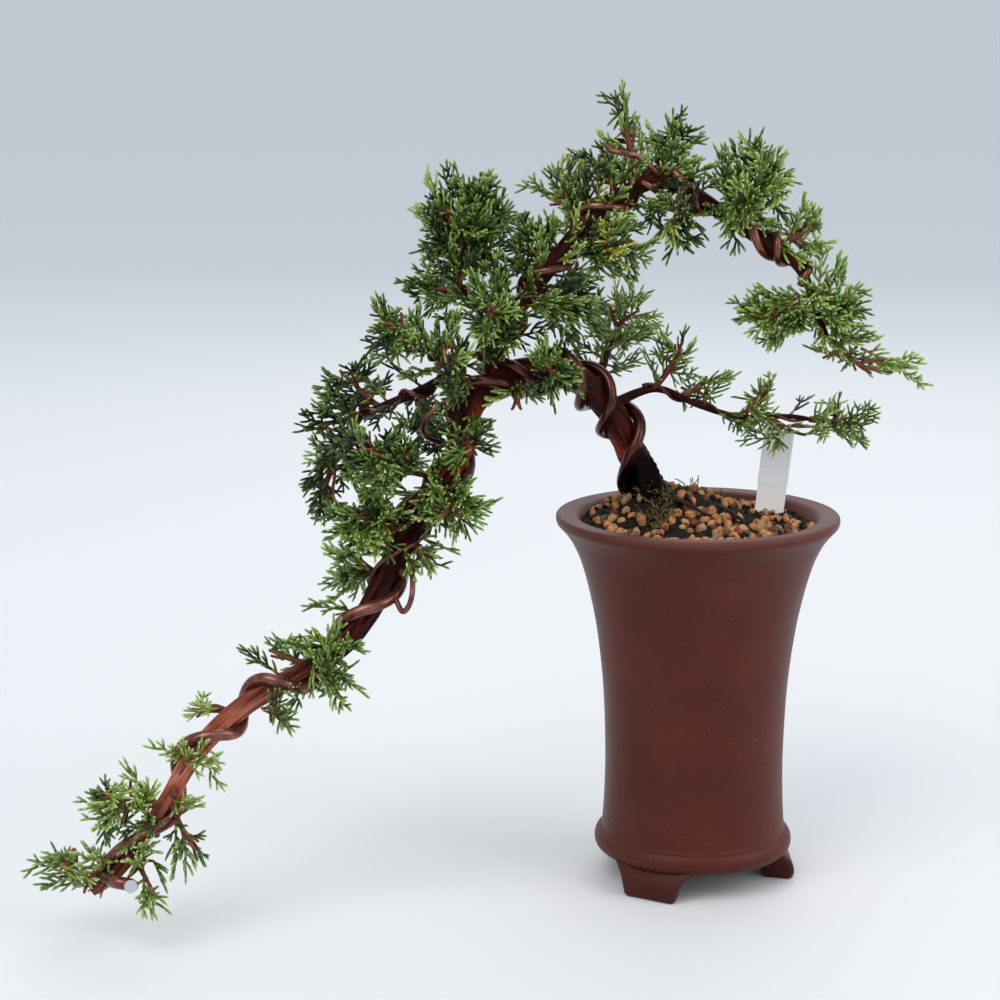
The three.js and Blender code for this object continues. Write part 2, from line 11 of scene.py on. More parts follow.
import bpy
import numpy as np
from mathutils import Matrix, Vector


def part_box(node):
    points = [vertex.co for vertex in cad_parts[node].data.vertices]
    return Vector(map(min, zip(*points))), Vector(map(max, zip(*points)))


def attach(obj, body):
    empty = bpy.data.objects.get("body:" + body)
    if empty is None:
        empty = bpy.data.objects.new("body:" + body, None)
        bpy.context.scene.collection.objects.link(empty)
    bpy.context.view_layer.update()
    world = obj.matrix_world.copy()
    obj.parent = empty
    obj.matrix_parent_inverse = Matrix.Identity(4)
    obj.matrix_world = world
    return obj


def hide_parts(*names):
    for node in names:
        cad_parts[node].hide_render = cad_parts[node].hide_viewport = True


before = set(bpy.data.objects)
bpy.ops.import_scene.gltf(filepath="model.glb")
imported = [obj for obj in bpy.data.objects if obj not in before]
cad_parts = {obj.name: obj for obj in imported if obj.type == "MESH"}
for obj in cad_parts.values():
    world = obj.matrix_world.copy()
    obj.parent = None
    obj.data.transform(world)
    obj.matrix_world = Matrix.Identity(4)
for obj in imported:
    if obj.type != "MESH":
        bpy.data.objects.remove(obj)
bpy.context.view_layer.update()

# %% [markdown]
# ## One way to say where things are
# A maker thinks about this tree from the pot's axis and in millimetres. Blender works in metres in
# the row's frame. One short function turns the first into the second, so every size below can be
# read against a ruler.

# %% Places and meshes
MM = 0.001
pot_low, pot_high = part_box("pot")
AXIS = np.array([(pot_low.x + pot_high.x) / 2, (pot_low.y + pot_high.y) / 2, 0.0])


def to_frame(points):
    """Millimetres about the pot's axis, as metres in the row's frame."""
    return np.asarray(points, float) * MM + AXIS


def mesh_object(name, points, faces, materials, picks=None):
    """A smooth mesh from arrays: points in millimetres, faces all of one kind, a material per face."""
    faces = np.asarray(faces, np.int32)
    mesh = bpy.data.meshes.new(name)
    mesh.vertices.add(len(points))
    mesh.vertices.foreach_set("co", to_frame(points).astype(np.float32).ravel())
    mesh.loops.add(faces.size)
    mesh.loops.foreach_set("vertex_index", faces.ravel())
    mesh.polygons.add(len(faces))
    mesh.polygons.foreach_set("loop_start", np.arange(0, faces.size, faces.shape[1], dtype=np.int32))
    for material in materials:
        mesh.materials.append(material)
    if picks is not None:
        mesh.polygons.foreach_set("material_index", np.asarray(picks, np.int32))
    mesh.update(calc_edges=True)
    mesh.shade_smooth()
    piece = bpy.data.objects.new(name, mesh)
    bpy.context.scene.collection.objects.link(piece)
    return piece


# %% Skins and handing over
def skin(rings):
    """Points and triangles of a closed skin over a stack of rings, each end closed at its middle."""
    rings = np.asarray(rings, float)
    rows, around = rings.shape[:2]
    points = np.vstack([rings.reshape(-1, 3), rings[0].mean(axis=0), rings[-1].mean(axis=0)])
    here = np.arange(around)
    after = np.roll(here, -1)
    low = np.arange(rows - 1)[:, None] * around
    quads = np.stack([low + here, low + after, low + around + after, low + around + here], axis=-1)
    quads = quads.reshape(-1, 4)
    foot = np.stack([after, here, np.full(around, rows * around)], axis=1)
    top = np.stack([here, after, np.full(around, around + 1)], axis=1) + (rows - 1) * around
    return points, np.vstack([quads[:, [0, 1, 2]], quads[:, [0, 2, 3]], foot, top])


def add_attribute(piece, name, kind, values):
    """A named value on each point of a mesh, for its material to read."""
    attribute = piece.data.attributes.new(name, kind, "POINT")
    field = "vector" if kind == "FLOAT_VECTOR" else "value"
    attribute.data.foreach_set(field, np.asarray(values, np.float32).ravel())


def hand_over(piece, slot, *nodes):
    """The piece rides on the tree's one body and stands for the named solids."""
    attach(piece, "root")
    if nodes:
        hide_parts(*nodes)
    piece.data.calc_loop_triangles()
    print(f"{piece.name}: {len(piece.data.loop_triangles)} triangles")


# %% [markdown]
# ## Camera
# The lens and the place were worked out from the pot, whose rim and foot are circles: the eye is
# about a metre away, a little above the rim, and looks down by some eleven degrees.

# %% Camera
CAMERA_PLACE = (-83.65, -995.6, 362.0)
CAMERA_DIP = math.radians(11.21)
CAMERA_LENS = 86.4
CAMERA_SENSOR = 36.0

camera = bpy.data.objects.new("camera", bpy.data.cameras.new("camera"))
bpy.context.scene.collection.objects.link(camera)
camera.location = to_frame(CAMERA_PLACE)
camera.rotation_euler = (math.pi / 2 - CAMERA_DIP, 0, 0)
camera.data.lens = CAMERA_LENS
camera.data.sensor_width = CAMERA_SENSOR
bpy.context.scene.camera = camera
print("camera at", [round(x, 3) for x in camera.location])

# %% [markdown]
# ## Building finishes from nodes
# Each finish is one Principled shader. Values that are the same all over sit on its own sockets.
# Small helpers add a noise, a colour ramp or a bump, so that a finish reads as a short recipe. The
# sky and the Geometry Nodes further down grow from the same helpers.


# %% Helpers for node trees
def linear(color):
    """An sRGB colour from 0 to 255 as the linear values that a shader wants."""
    share = np.asarray(color, float) / 255
    return tuple(np.where(share <= 0.04045, share / 12.92, ((share + 0.055) / 1.055) ** 2.4))


class Nodes:
    """A node tree that grows node by node. A socket takes a plain value or the output of another node."""

    def __init__(self, tree):
        self.tree = tree

    def put(self, socket, value):
        if isinstance(value, bpy.types.NodeSocket):
            self.tree.links.new(value, socket)
        else:
            socket.default_value = value

    def node(self, kind, settings=None, **inputs):
        """A node whose settings are made first, because they decide which sockets it has."""
        made = self.tree.nodes.new(kind)
        for name, value in (settings or {}).items():
            setattr(made, name, value)
        for name, value in inputs.items():
            self.put(made.inputs[name.replace("_", " ")], value)
        return made

    def combine(self, kind, operation, *values):
        """The outputs of a Math or Vector Math node that takes the values in their order."""
        made = self.node(kind, dict(operation=operation))
        for socket, value in zip(made.inputs, values):
            self.put(socket, value)
        return made.outputs

    def multiply(self, first, second):
        return self.combine("ShaderNodeMath", "MULTIPLY", first, second)[0]

    def span(self, value, start, end, low=0.0, high=1.0):
        """A value carried from one range to another, and held at its ends."""
        made = self.node(
            "ShaderNodeMapRange", Value=value, From_Min=start, From_Max=end, To_Min=low, To_Max=high)
        return made.outputs["Result"]

    def ramp(self, value, *stops):
        made = self.node("ShaderNodeValToRGB", Fac=value)
        elements = made.color_ramp.elements
        while len(elements) < len(stops):
            elements.new(0.5)
        for element, (position, color) in zip(elements, stops):
            element.position = position
            element.color = (*linear(color), 1)
        return made.outputs["Color"]


# %% Helpers for finishes
SPECK_CORE = 0.4


class Finish(Nodes):
    """A material with its shader, and the few nodes that these finishes are made of."""

    def __init__(self, name, color, roughness, metallic=0.0, specular=0.5):
        self.material = bpy.data.materials.new(name)
        self.material.use_nodes = True
        super().__init__(self.material.node_tree)
        self.shader = self.tree.nodes["Principled BSDF"]
        self.shader.inputs["Base Color"].default_value = (*linear(color), 1)
        self.shader.inputs["Roughness"].default_value = roughness
        self.shader.inputs["Metallic"].default_value = metallic
        self.shader.inputs["Specular IOR Level"].default_value = specular

    def place(self):
        return self.node("ShaderNodeTexCoord").outputs["Object"]

    def height(self):
        return self.node("ShaderNodeSeparateXYZ", Vector=self.place()).outputs["Z"]

    def attribute(self, name, output):
        return self.node("ShaderNodeAttribute", dict(attribute_name=name)).outputs[output]

    def noise(self, vector, scale, detail, roughness=0.6):
        made = self.node(
            "ShaderNodeTexNoise", Vector=vector, Scale=scale, Detail=detail, Roughness=roughness)
        return made.outputs["Fac"]

    def specks(self, scale, size):
        """1 on scattered small dots, 0 between them."""
        cells = self.node("ShaderNodeTexVoronoi", Vector=self.place(), Scale=scale)
        return self.span(cells.outputs["Distance"], size, size * SPECK_CORE)

    def near(self, place, outer, inner):
        """1 within the inner distance of a place, fading to 0 at the outer one."""
        away = self.combine("ShaderNodeVectorMath", "DISTANCE", self.place(), tuple(place))["Value"]
        return self.span(away, outer, inner)

    def mix(self, share, first, second):
        made = self.node("ShaderNodeMix", dict(data_type="RGBA"), Factor=share)
        for socket, value in ((made.inputs[6], first), (made.inputs[7], second)):
            self.put(socket, value if isinstance(value, bpy.types.NodeSocket) else (*linear(value), 1))
        return made.outputs[2]

    def coats(self, tone, *layers):
        """A tone with coats over it, one after another, each with the share that it covers."""
        for share, color in layers:
            tone = self.mix(share, tone, color)
        return tone

    def color_from(self, socket):
        self.put(self.shader.inputs["Base Color"], socket)

    def roughness_from(self, socket):
        self.put(self.shader.inputs["Roughness"], socket)

    def mottle(self, scale, detail, *stops, roughness=0.6):
        """Blotches of the given colours all over. Their pattern is given back, for a bump."""
        pattern = self.noise(self.place(), scale, detail, roughness)
        self.color_from(self.ramp(pattern, *stops))
        return pattern

    def bump(self, height, strength, distance):
        made = self.node("ShaderNodeBump", Height=height, Strength=strength, Distance=distance)
        if self.shader.inputs["Normal"].is_linked:
            self.put(made.inputs["Normal"], self.shader.inputs["Normal"].links[0].from_socket)
        self.put(self.shader.inputs["Normal"], made.outputs["Normal"])

    def roughen(self, scale, detail, strength, distance):
        """A fine unevenness all over."""
        self.bump(self.noise(self.place(), scale, detail), strength, distance)


# %% [markdown]
# ## The pot
# The real pot was thrown on a wheel: a slim waist, a rim that flares and rolls over, a bead above
# the feet. A profile turned about an axis gives that at once. The profile has the same heights and
# radii as the solid, with a smooth curve through them. The three feet are cut slabs that follow
# the wall. Each is a stack of outlines, drawn in at the bottom so that its edge is round, and a
# Boolean joins it on, so it is one skin.

# %% Pot sizes
POT_OUTSIDE = [
    (11.5, 37.5), (11.8, 39.4), (12.6, 40.9), (14.0, 42.0), (16.2, 42.5), (18.4, 42.2),
    (20.0, 41.3), (20.8, 40.3), (21.3, 39.6), (22.4, 39.3), (25.5, 39.1), (36.0, 38.5),
    (55.0, 38.2), (83.0, 39.3), (108.0, 42.1), (126.0, 45.7), (138.7, 49.3), (146.5, 52.8),
    (150.6, 55.5), (153.3, 57.8), (154.9, 59.3), (155.8, 59.8), (157.0, 60.0), (158.1, 59.9),
]
POT_RIM = [(158.8, 59.4), (159.1, 58.6), (159.2, 56.0), (158.9, 53.0), (158.2, 51.3), (157.0, 50.1)]
POT_INSIDE = [(154.0, 48.2), (150.0, 46.8), (140.0, 43.0), (120.0, 38.0)]
POT_AROUND = 192
PROFILE_STEPS = 5
FOOT_ANGLES = (-120, 0, 120)
FOOT_INNER = 31.0
FOOT_OUTERS = [(0.0, 43.9), (3.0, 44.6), (6.0, 44.5), (9.0, 43.6), (12.0, 42.4), (15.0, 41.6)]
FOOT_HALF_WIDTHS = [(0.0, 12.4), (3.0, 12.7), (6.0, 13.6), (9.0, 15.2), (11.5, 17.8), (15.0, 22.5)]
FOOT_ROUNDING = 1.6
FOOT_CORNER = 2.2
FOOT_HEIGHTS = (0.0, 0.15, 0.5, 1.0, FOOT_ROUNDING, 3.0, 5.0, 7.0, 9.0, 10.5, 12.0, 13.5, 15.0)
POT_CREASE = math.radians(40)
CORNER_STEPS = 7
print("pot:", len(POT_OUTSIDE + POT_RIM + POT_INSIDE), "places on its profile")


# %% Curves and outlines
def smooth_line(points, steps):
    """A Catmull-Rom curve through the points, with evenly spaced steps on each stretch."""
    points = np.asarray(points, float)
    ends = np.vstack([2 * points[:1] - points[1:2], points, 2 * points[-1:] - points[-2:-1]])
    before, start, end, after = ends[:-3], ends[1:-2], ends[2:-1], ends[3:]
    t = np.arange(steps)[:, None, None] / steps
    line = 0.5 * (
        2 * start
        + (end - before) * t
        + (2 * before - 5 * start + 4 * end - after) * t**2
        + (3 * start - before - 3 * end + after) * t**3
    )
    line = line.transpose(1, 0, 2).reshape(-1, points.shape[1])
    return np.vstack([line, points[-1:]])


def turned(profile, around):
    """Rings of a profile of (height, radius) turned about the pot's axis."""
    profile = np.asarray(profile, float)
    angle = 2 * np.pi * np.arange(around) / around
    x = np.outer(profile[:, 1], np.cos(angle))
    y = np.outer(profile[:, 1], np.sin(angle))
    z = np.repeat(profile[:, :1], around, axis=1)
    return np.stack([x, y, z], axis=-1)


def rounded_outline(width, depth, corner):
    """A rectangle with round corners about the origin, anticlockwise."""
    turn = np.linspace(0, np.pi / 2, CORNER_STEPS)
    points = []
    for quarter, (right, up) in enumerate(((1, 1), (-1, 1), (-1, -1), (1, -1))):
        angle = turn + quarter * np.pi / 2
        x = right * (width / 2 - corner) + corner * np.cos(angle)
        y = up * (depth / 2 - corner) + corner * np.sin(angle)
        points.append(np.stack([x, y], axis=1))
    return np.vstack(points)


# %% [markdown]
# ## Clay
# The clay is bare and fired to a dark red brown, cloudy from the kiln, with pale sand in it, small
# pits and one air hole under the rim. The pits and the hole are dark with painted shade. The rim is
# worn paler, and the feet are darkened with painted shade. Noise and specks give that from the place
# in space, so the finish has no seam and holds close up.

# %% Clay
AIR_HOLE = (-44.0, -33.5, 147.5)
AIR_HOLE_REACH = (1.1 * MM, 0.6 * MM)
WORN_RIM_HEIGHTS = (155.5 * MM, 159 * MM)
# Heights over which painted shade darkens the feet.
SHADED_FEET_HEIGHTS = (11 * MM, 20 * MM)

clay = Finish("clay", (80, 33, 23), 0.5, specular=0.17)
grain = clay.noise(clay.place(), 950.0, 2.0)
cloud = clay.noise(clay.place(), 26.0, 4.0)
clouded = clay.ramp(cloud, (0.3, (71, 27, 18)), (0.55, (80, 33, 23)), (0.75, (89, 40, 29)))
sand = clay.multiply(clay.specks(330.0, 0.13), 0.16)
# Painted shade: the small pits are darkened, as shade falls into them.
painted_pit_shade = clay.multiply(clay.specks(70.0, 0.05), 0.6)
# The air hole is a dent with painted shade inside it.
hole_and_shade = clay.near(to_frame(AIR_HOLE), *AIR_HOLE_REACH)
rim_wear = clay.span(clay.height(), *WORN_RIM_HEIGHTS, 0.0, 0.35)
# Painted shade: the clay gets darker toward the bottom of the feet.
painted_feet_shade = clay.span(clay.height(), *SHADED_FEET_HEIGHTS, 0.5, 0.0)
clay.color_from(clay.coats(
    clouded, (sand, (150, 112, 96)), (painted_pit_shade, (36, 19, 15)), (hole_and_shade, (14, 8, 6)),
    (rim_wear, (120, 80, 71)), (painted_feet_shade, (46, 19, 14)),
))
clay.roughness_from(clay.span(cloud, 0.3, 0.7, 0.36, 0.48))
clay.bump(grain, 0.14, 0.0004)
clay.bump(hole_and_shade, -1.0, 0.0008)
print("clay:", len(clay.tree.nodes), "nodes")


# %% Pot body and feet
def make_foot(angle):
    """A foot as a stack of outlines that follow the wall, rounded below and spreading above."""
    rings = []
    for height in FOOT_HEIGHTS:
        rise = min(height, FOOT_ROUNDING)
        inset = FOOT_ROUNDING - math.sqrt(FOOT_ROUNDING**2 - (FOOT_ROUNDING - rise) ** 2)
        half = np.interp(height, *zip(*FOOT_HALF_WIDTHS)) - inset
        outer = np.interp(height, *zip(*FOOT_OUTERS))
        depth = outer - FOOT_INNER - 2 * inset
        outline = rounded_outline(2 * half, depth, FOOT_CORNER - inset / 2)
        turn = math.radians(angle) - outline[:, 0] / outer
        reach = (FOOT_INNER + outer) / 2 + outline[:, 1]
        level = np.full(len(turn), height)
        rings.append(np.stack([reach * np.cos(turn), reach * np.sin(turn), level], axis=1))
    return mesh_object("foot", *skin(rings), [clay.material])


def applied(piece):
    """The piece with its modifiers turned into plain mesh."""
    graph = bpy.context.evaluated_depsgraph_get()
    piece.data = bpy.data.meshes.new_from_object(piece.evaluated_get(graph))
    piece.modifiers.clear()
    return piece


pot_profile = smooth_line(POT_OUTSIDE + POT_RIM + POT_INSIDE, PROFILE_STEPS)
pot = mesh_object("clay_pot", *skin(turned(pot_profile, POT_AROUND)), [clay.material])
feet = [make_foot(angle) for angle in FOOT_ANGLES]
for foot in feet:
    joining = pot.modifiers.new("joining", "BOOLEAN")
    joining.operation = "UNION"
    joining.solver = "EXACT"
    joining.object = foot
applied(pot)
for foot in feet:
    bpy.data.objects.remove(foot)
pot.data.set_sharp_from_angle(angle=POT_CREASE)
hand_over(pot, "clay", "pot")

# %% [markdown]
# ## Soil
# The pot is filled with baked clay grains over dark, damp soil, mounded up to the foot of the
# trunk. The dark ground is one uneven sheet. The grains repeat, so Geometry Nodes scatter them on
# it: a pebble is set on each point, turned and stretched at random, and every colour of grain is
# one run of the same node tree with its own seed.

# %% The ground
GROUND = 166.0
SOIL_EDGE = 154.5
SOIL_RADIUS = 48.7
SOIL_FOOT, SOIL_FOOT_RADIUS = SOIL_EDGE - 14, 42.0
MOUND_RISE = 17.5
MOUND_SPREAD = 16.0
MOUND_MIDDLE = (-11.5, 12.5)
SOIL_RINGS, SOIL_AROUND = 40, 120
SOIL_WAVES = ((1.1, 14, 3), (0.6, 5, 4))
CALM_EDGE = 6
WAVE_COUNT, WAVE_DAMPING = 6, 4
WAVE_SIZES = (0.7, 1.5)
ANY_TURN = 6.28


def soil_height(x, y):
    away = np.hypot(x - MOUND_MIDDLE[0], y - MOUND_MIDDLE[1])
    mound = SOIL_EDGE + MOUND_RISE * np.exp(-(away**2) / (2 * MOUND_SPREAD**2))
    return np.minimum(mound, GROUND)


def waves(x, y, size, seed):
    """A gentle unevenness from a few crossing waves of about the given size, mostly from -1 to 1."""
    deal = np.random.default_rng(seed)
    total = 0.0
    for _ in range(WAVE_COUNT):
        angle = deal.uniform(0, 2 * np.pi)
        pace = 2 * np.pi / (size * deal.uniform(*WAVE_SIZES))
        total = total + np.sin(pace * (x * np.cos(angle) + y * np.sin(angle)) + deal.uniform(0, ANY_TURN))
    return total / WAVE_DAMPING


soil_dark = Finish("damp_soil", (34, 26, 21), 0.9, specular=0.15)
crumbs = soil_dark.mottle(
    520.0, 5.0, (0.35, (14, 11, 9)), (0.6, (44, 34, 26)), (0.8, (92, 66, 44)), roughness=0.7)
soil_dark.bump(crumbs, 0.9, 0.0012)

soil_profile = [[SOIL_FOOT, SOIL_FOOT_RADIUS]]
soil_profile += [[SOIL_EDGE, SOIL_RADIUS * k / SOIL_RINGS] for k in range(SOIL_RINGS, 0, -1)]
soil_points, soil_faces = skin(turned(soil_profile, SOIL_AROUND))
on_top = soil_points[:, 2] > SOIL_EDGE - 1
top_x, top_y = soil_points[on_top, 0], soil_points[on_top, 1]
unevenness = sum(rise * waves(top_x, top_y, size, seed) for rise, size, seed in SOIL_WAVES)
calm = np.clip((SOIL_RADIUS - np.hypot(top_x, top_y)) / CALM_EDGE, 0, 1)
soil_points[on_top, 2] = soil_height(top_x, top_y) + unevenness * calm
soil = mesh_object("damp_soil", soil_points, soil_faces, [soil_dark.material])
hand_over(soil, "soil", "soil")


# %% Helpers for Geometry Nodes
class MeshNodes(Nodes):
    """A Geometry Nodes tree that takes a mesh and some named values and gives a painted mesh."""

    def __init__(self, name, **inputs):
        super().__init__(bpy.data.node_groups.new(name, "GeometryNodeTree"))
        face = self.tree.interface
        face.new_socket("Geometry", in_out="INPUT", socket_type="NodeSocketGeometry")
        for label, kind in inputs.items():
            label = label.replace("_", " ").capitalize()
            face.new_socket(label, in_out="INPUT", socket_type=f"NodeSocket{kind}")
        face.new_socket("Geometry", in_out="OUTPUT", socket_type="NodeSocketGeometry")
        self.given = self.node("NodeGroupInput").outputs

    def scaled(self, vector, scale):
        made = self.node("ShaderNodeVectorMath", dict(operation="SCALE"), Vector=vector, Scale=scale)
        return made.outputs[0]

    def dealt(self, **inputs):
        """A random vector for each point, from the seed that was given."""
        made = self.node("FunctionNodeRandomValue", dict(data_type="FLOAT_VECTOR"), **inputs)
        self.put(made.inputs["Seed"], self.given["Seed"])
        return made.outputs[0]

    def painted(self, geometry):
        """The finished tree: its geometry made real, smooth and in the finish that was given."""
        real = self.node("GeometryNodeRealizeInstances", Geometry=geometry).outputs["Geometry"]
        smooth = self.node("GeometryNodeSetShadeSmooth", Geometry=real).outputs["Geometry"]
        paint = self.node("GeometryNodeSetMaterial", Geometry=smooth, Material=self.given["Finish"])
        self.node("NodeGroupOutput", Geometry=paint.outputs["Geometry"])
        return self.tree


# %% A node tree that scatters grains
LEAST_UPWARD = 0.5
PATCH_SCALE, PATCH_EDGES = 70.0, (0.4, 0.52)
MOST_GRAINS = 400000.0
PEBBLE_ROUNDS = 2
LUMP_SCALE, LUMP_PUSH = 1.4, 0.65
SMALLEST_GRAIN, LARGEST_GRAIN = (0.62, 0.55, 0.45), (1.25, 1.05, 0.85)


def grain_tree():
    """Grains on the upward faces of a mesh: lumpy pebbles, each turned and stretched its own way."""
    nodes = MeshNodes("scatter_grains", grain_size="Float", spacing="Float", share="Float", seed="Int",
                      finish="Material")
    given = nodes.given
    normal = nodes.node("GeometryNodeInputNormal").outputs[0]
    up = nodes.node("ShaderNodeSeparateXYZ", Vector=normal).outputs["Z"]
    upward = nodes.node("FunctionNodeCompare", A=up, B=LEAST_UPWARD).outputs[0]
    patches = nodes.node("ShaderNodeTexNoise", Scale=PATCH_SCALE).outputs["Fac"]
    density = nodes.multiply(nodes.span(patches, *PATCH_EDGES), given["Share"])
    spread = nodes.node(
        "GeometryNodeDistributePointsOnFaces", dict(distribute_method="POISSON"), Mesh=given["Geometry"],
        Selection=upward, Distance_Min=given["Spacing"], Density_Max=MOST_GRAINS, Density_Factor=density,
        Seed=given["Seed"],
    )
    pebble = nodes.node("GeometryNodeMeshIcoSphere", Subdivisions=PEBBLE_ROUNDS).outputs["Mesh"]
    lumps = nodes.node("ShaderNodeTexNoise", Scale=LUMP_SCALE).outputs["Color"]
    centred = nodes.combine("ShaderNodeVectorMath", "SUBTRACT", lumps, (0.5, 0.5, 0.5))[0]
    pushed = nodes.scaled(centred, LUMP_PUSH)
    shaped = nodes.node("GeometryNodeSetPosition", Geometry=pebble, Offset=pushed)
    stretch = nodes.dealt(Min=SMALLEST_GRAIN, Max=LARGEST_GRAIN)
    placed = nodes.node(
        "GeometryNodeInstanceOnPoints",
        Points=spread.outputs["Points"],
        Instance=shaped.outputs["Geometry"],
        Rotation=nodes.dealt(Max=(ANY_TURN, ANY_TURN, ANY_TURN)),
        Scale=nodes.scaled(stretch, given["Grain size"]),
    )
    return nodes.painted(placed.outputs["Instances"])


def run_tree(name, mesh, tree, **values):
    """The plain mesh that a node tree makes from a mesh, as an object of its own."""
    piece = bpy.data.objects.new(name, mesh)
    bpy.context.scene.collection.objects.link(piece)
    modifier = piece.modifiers.new("nodes", "NODES")
    modifier.node_group = tree
    for socket in tree.interface.items_tree:
        key = socket.name.lower().replace(" ", "_")
        if socket.in_out == "INPUT" and key in values:
            modifier[socket.identifier] = values[key]
    return applied(piece)


# %% Grains of each colour
GRAIN_KINDS = {
    "ochre_grains": ((188, 128, 82), 2.7, 4.8, 0.85, 5),
    "tan_grains": ((172, 134, 98), 2.8, 7.2, 0.85, 8),
    "umber_grains": ((106, 78, 56), 2.7, 7.6, 0.85, 12),
    "olive_grains": ((84, 78, 62), 2.5, 10.5, 0.85, 17),
    "rust_grains": ((146, 76, 50), 2.2, 9.0, 0.85, 19),
    "black_crumbs": ((20, 15, 12), 1.6, 2.7, 0.95, 21),
}
GRAIN_SHADE, GRAIN_BRIGHT = 0.55, 1.1


def grain_finish(name, color):
    finish = Finish(name, color, 0.85, specular=0.25)
    shade = tuple(GRAIN_SHADE * c for c in color)
    bright = tuple(GRAIN_BRIGHT * c for c in color)
    finish.mottle(330.0, 4.0, (0.3, shade), (0.55, color), (0.75, bright))
    finish.roughen(1500.0, 3.0, 0.5, 0.0004)
    return finish.material


scatter = grain_tree()
for kind, (color, size, spacing, share, seed) in GRAIN_KINDS.items():
    grains = run_tree(kind, soil.data, scatter, grain_size=size * MM, spacing=spacing * MM,
                      share=share, seed=seed, finish=grain_finish(kind, color))
    hand_over(grains, "soil")

# %% [markdown]
# ## The label
# A white plastic stick stands in the soil behind the right bough, with a paper label round its
# upper part. Both stay blank. Each is a rounded outline carried through a thickness, with the
# first and last outline drawn in a little, so that its edges are soft.

# %% Label
LABEL_SIZE = (12.5, 0.9, 46.0)
LABEL_PLACE = (34.0, 20.0, 170.0)
LABEL_LEAN = math.radians(6)
PAPER_SIZE = (12.9, 1.2, 25.0)
PAPER_RISE = 9.5
LABEL_CORNER = 1.6
LABEL_CREASE = math.radians(30)
SOFT_EDGE = 0.25

plastic = Finish("label_plastic", (250, 248, 249), 0.35)
plastic.roughen(120.0, 2.0, 0.08, 0.0004)
paper = Finish("label_paper", (246, 246, 250), 0.62)
fibre = paper.mottle(800.0, 4.0, (0.3, (242, 242, 247)), (0.7, (249, 249, 252)))
paper.bump(fibre, 0.1, 0.0002)


def rounded_slab(name, size, rise, material):
    """A flat slab with round corners and soft edges, leaning as the label does."""
    width, depth, height = size
    soft = SOFT_EDGE * depth
    rings = []
    for y, inset in ((0.5, soft), (0.5 - soft / depth, 0.0), (soft / depth - 0.5, 0.0), (-0.5, soft)):
        flat = rounded_outline(width - 2 * inset, height - 2 * inset, LABEL_CORNER - inset)
        x, z = flat[:, 0], flat[:, 1] + rise
        lean_x = x * math.cos(LABEL_LEAN) + z * math.sin(LABEL_LEAN)
        lean_z = z * math.cos(LABEL_LEAN) - x * math.sin(LABEL_LEAN)
        rings.append(np.stack([lean_x, np.full(len(x), y * depth), lean_z], axis=1) + LABEL_PLACE)
    piece = mesh_object(name, *skin(rings), [material])
    piece.data.set_sharp_from_angle(angle=LABEL_CREASE)
    return piece


hand_over(rounded_slab("label_stick", LABEL_SIZE, 0.0, plastic.material), "label", "plant_label")
hand_over(rounded_slab("label_paper", PAPER_SIZE, PAPER_RISE, paper.material), "label")

# %% [markdown]
# ## The limbs
# Every limb follows a route of places with a thickness at each. A smooth curve runs through them,
# and a frame of two cross directions is carried along it without twisting. This is the same rule
# that made the solids, so bark, wire and foliage all meet where the solids do.

# %% Routes of the limbs
MAIN_LINE = [
    (-18, 9, 157, 10.5), (-22, 8, 172, 6.9), (-30, 6, 189, 5.9), (-38, 3, 204, 5.8),
    (-50, -1, 216, 5.8), (-66, -4, 220, 5.8), (-82, -7, 218, 5.8), (-95, -10, 208, 5.7),
    (-101, -14, 188, 5.4), (-114, -21, 168, 4.8), (-125, -27, 150, 4.4), (-134, -34, 132, 4.1),
    (-146, -42, 115, 3.7), (-164, -50, 103, 3.6), (-188, -60, 91, 3.5), (-207, -68, 73, 3.3),
    (-218, -72, 55, 2.9), (-230, -77, 38, 2.6), (-239, -81, 27, 2.2), (-247, -83, 21, 1.5),
]
FORK_AT = 6.6
KNEE_AT = 11
APEX_LINE = [
    (-88, -7, 212, 4.2), (-86, -8, 226, 3.8), (-77, -9, 246, 3.5), (-62, -8, 265, 3.4),
    (-46, -5, 284, 3.4), (-30, -4, 295, 3.3), (-16, -2, 299, 3.2), (0, -3, 291, 3.2),
    (18, -6, 279, 3), (37, -9, 267, 2.6), (44, -12, 254, 1.5), (48, -14, 242, 1.2),
    (53, -16, 232, 0.9),
]
CREST_AT = 5.6
BOUGHS = {
    "right_bough": [
        (-38, 3, 204, 2), (-25, 5, 210, 1.7), (-15, 6, 211, 1.5), (1, 7, 204, 1.3),
        (18, 8, 199, 1.2), (39, 9, 199, 1), (52, 9, 197, 0.8),
    ],
    "left_bough": [
        (-93, -8, 212, 2.4), (-104, -3, 217, 2.2), (-117, 3, 211, 2), (-134, 8, 203, 1.7),
        (-148, 11, 196, 1.3),
    ],
    "back_bough": [(-44, 1, 210, 2.2), (-42, 12, 214, 2), (-39, 24, 221, 1.8), (-36, 34, 228, 1.4)],
    "crown_twig": [(-80, -9, 240, 1.9), (-88, -4, 245, 1.7), (-96, 1, 251, 1.5), (-103, 3, 255, 1.2)],
    "shoulder_twig": [
        (-95, -10, 210, 1.7), (-102, -15, 220, 1.5), (-108, -17, 226, 1.4), (-114, -19, 232, 1.1),
    ],
}
LINE_STEPS = 8
FRONT = np.array([0.0, -1.0, 0.0])
print("boughs:", ", ".join(BOUGHS))


# %% Lines along the limbs
def unit(vectors):
    return vectors / np.maximum(np.linalg.norm(vectors, axis=-1, keepdims=True), 1e-9)


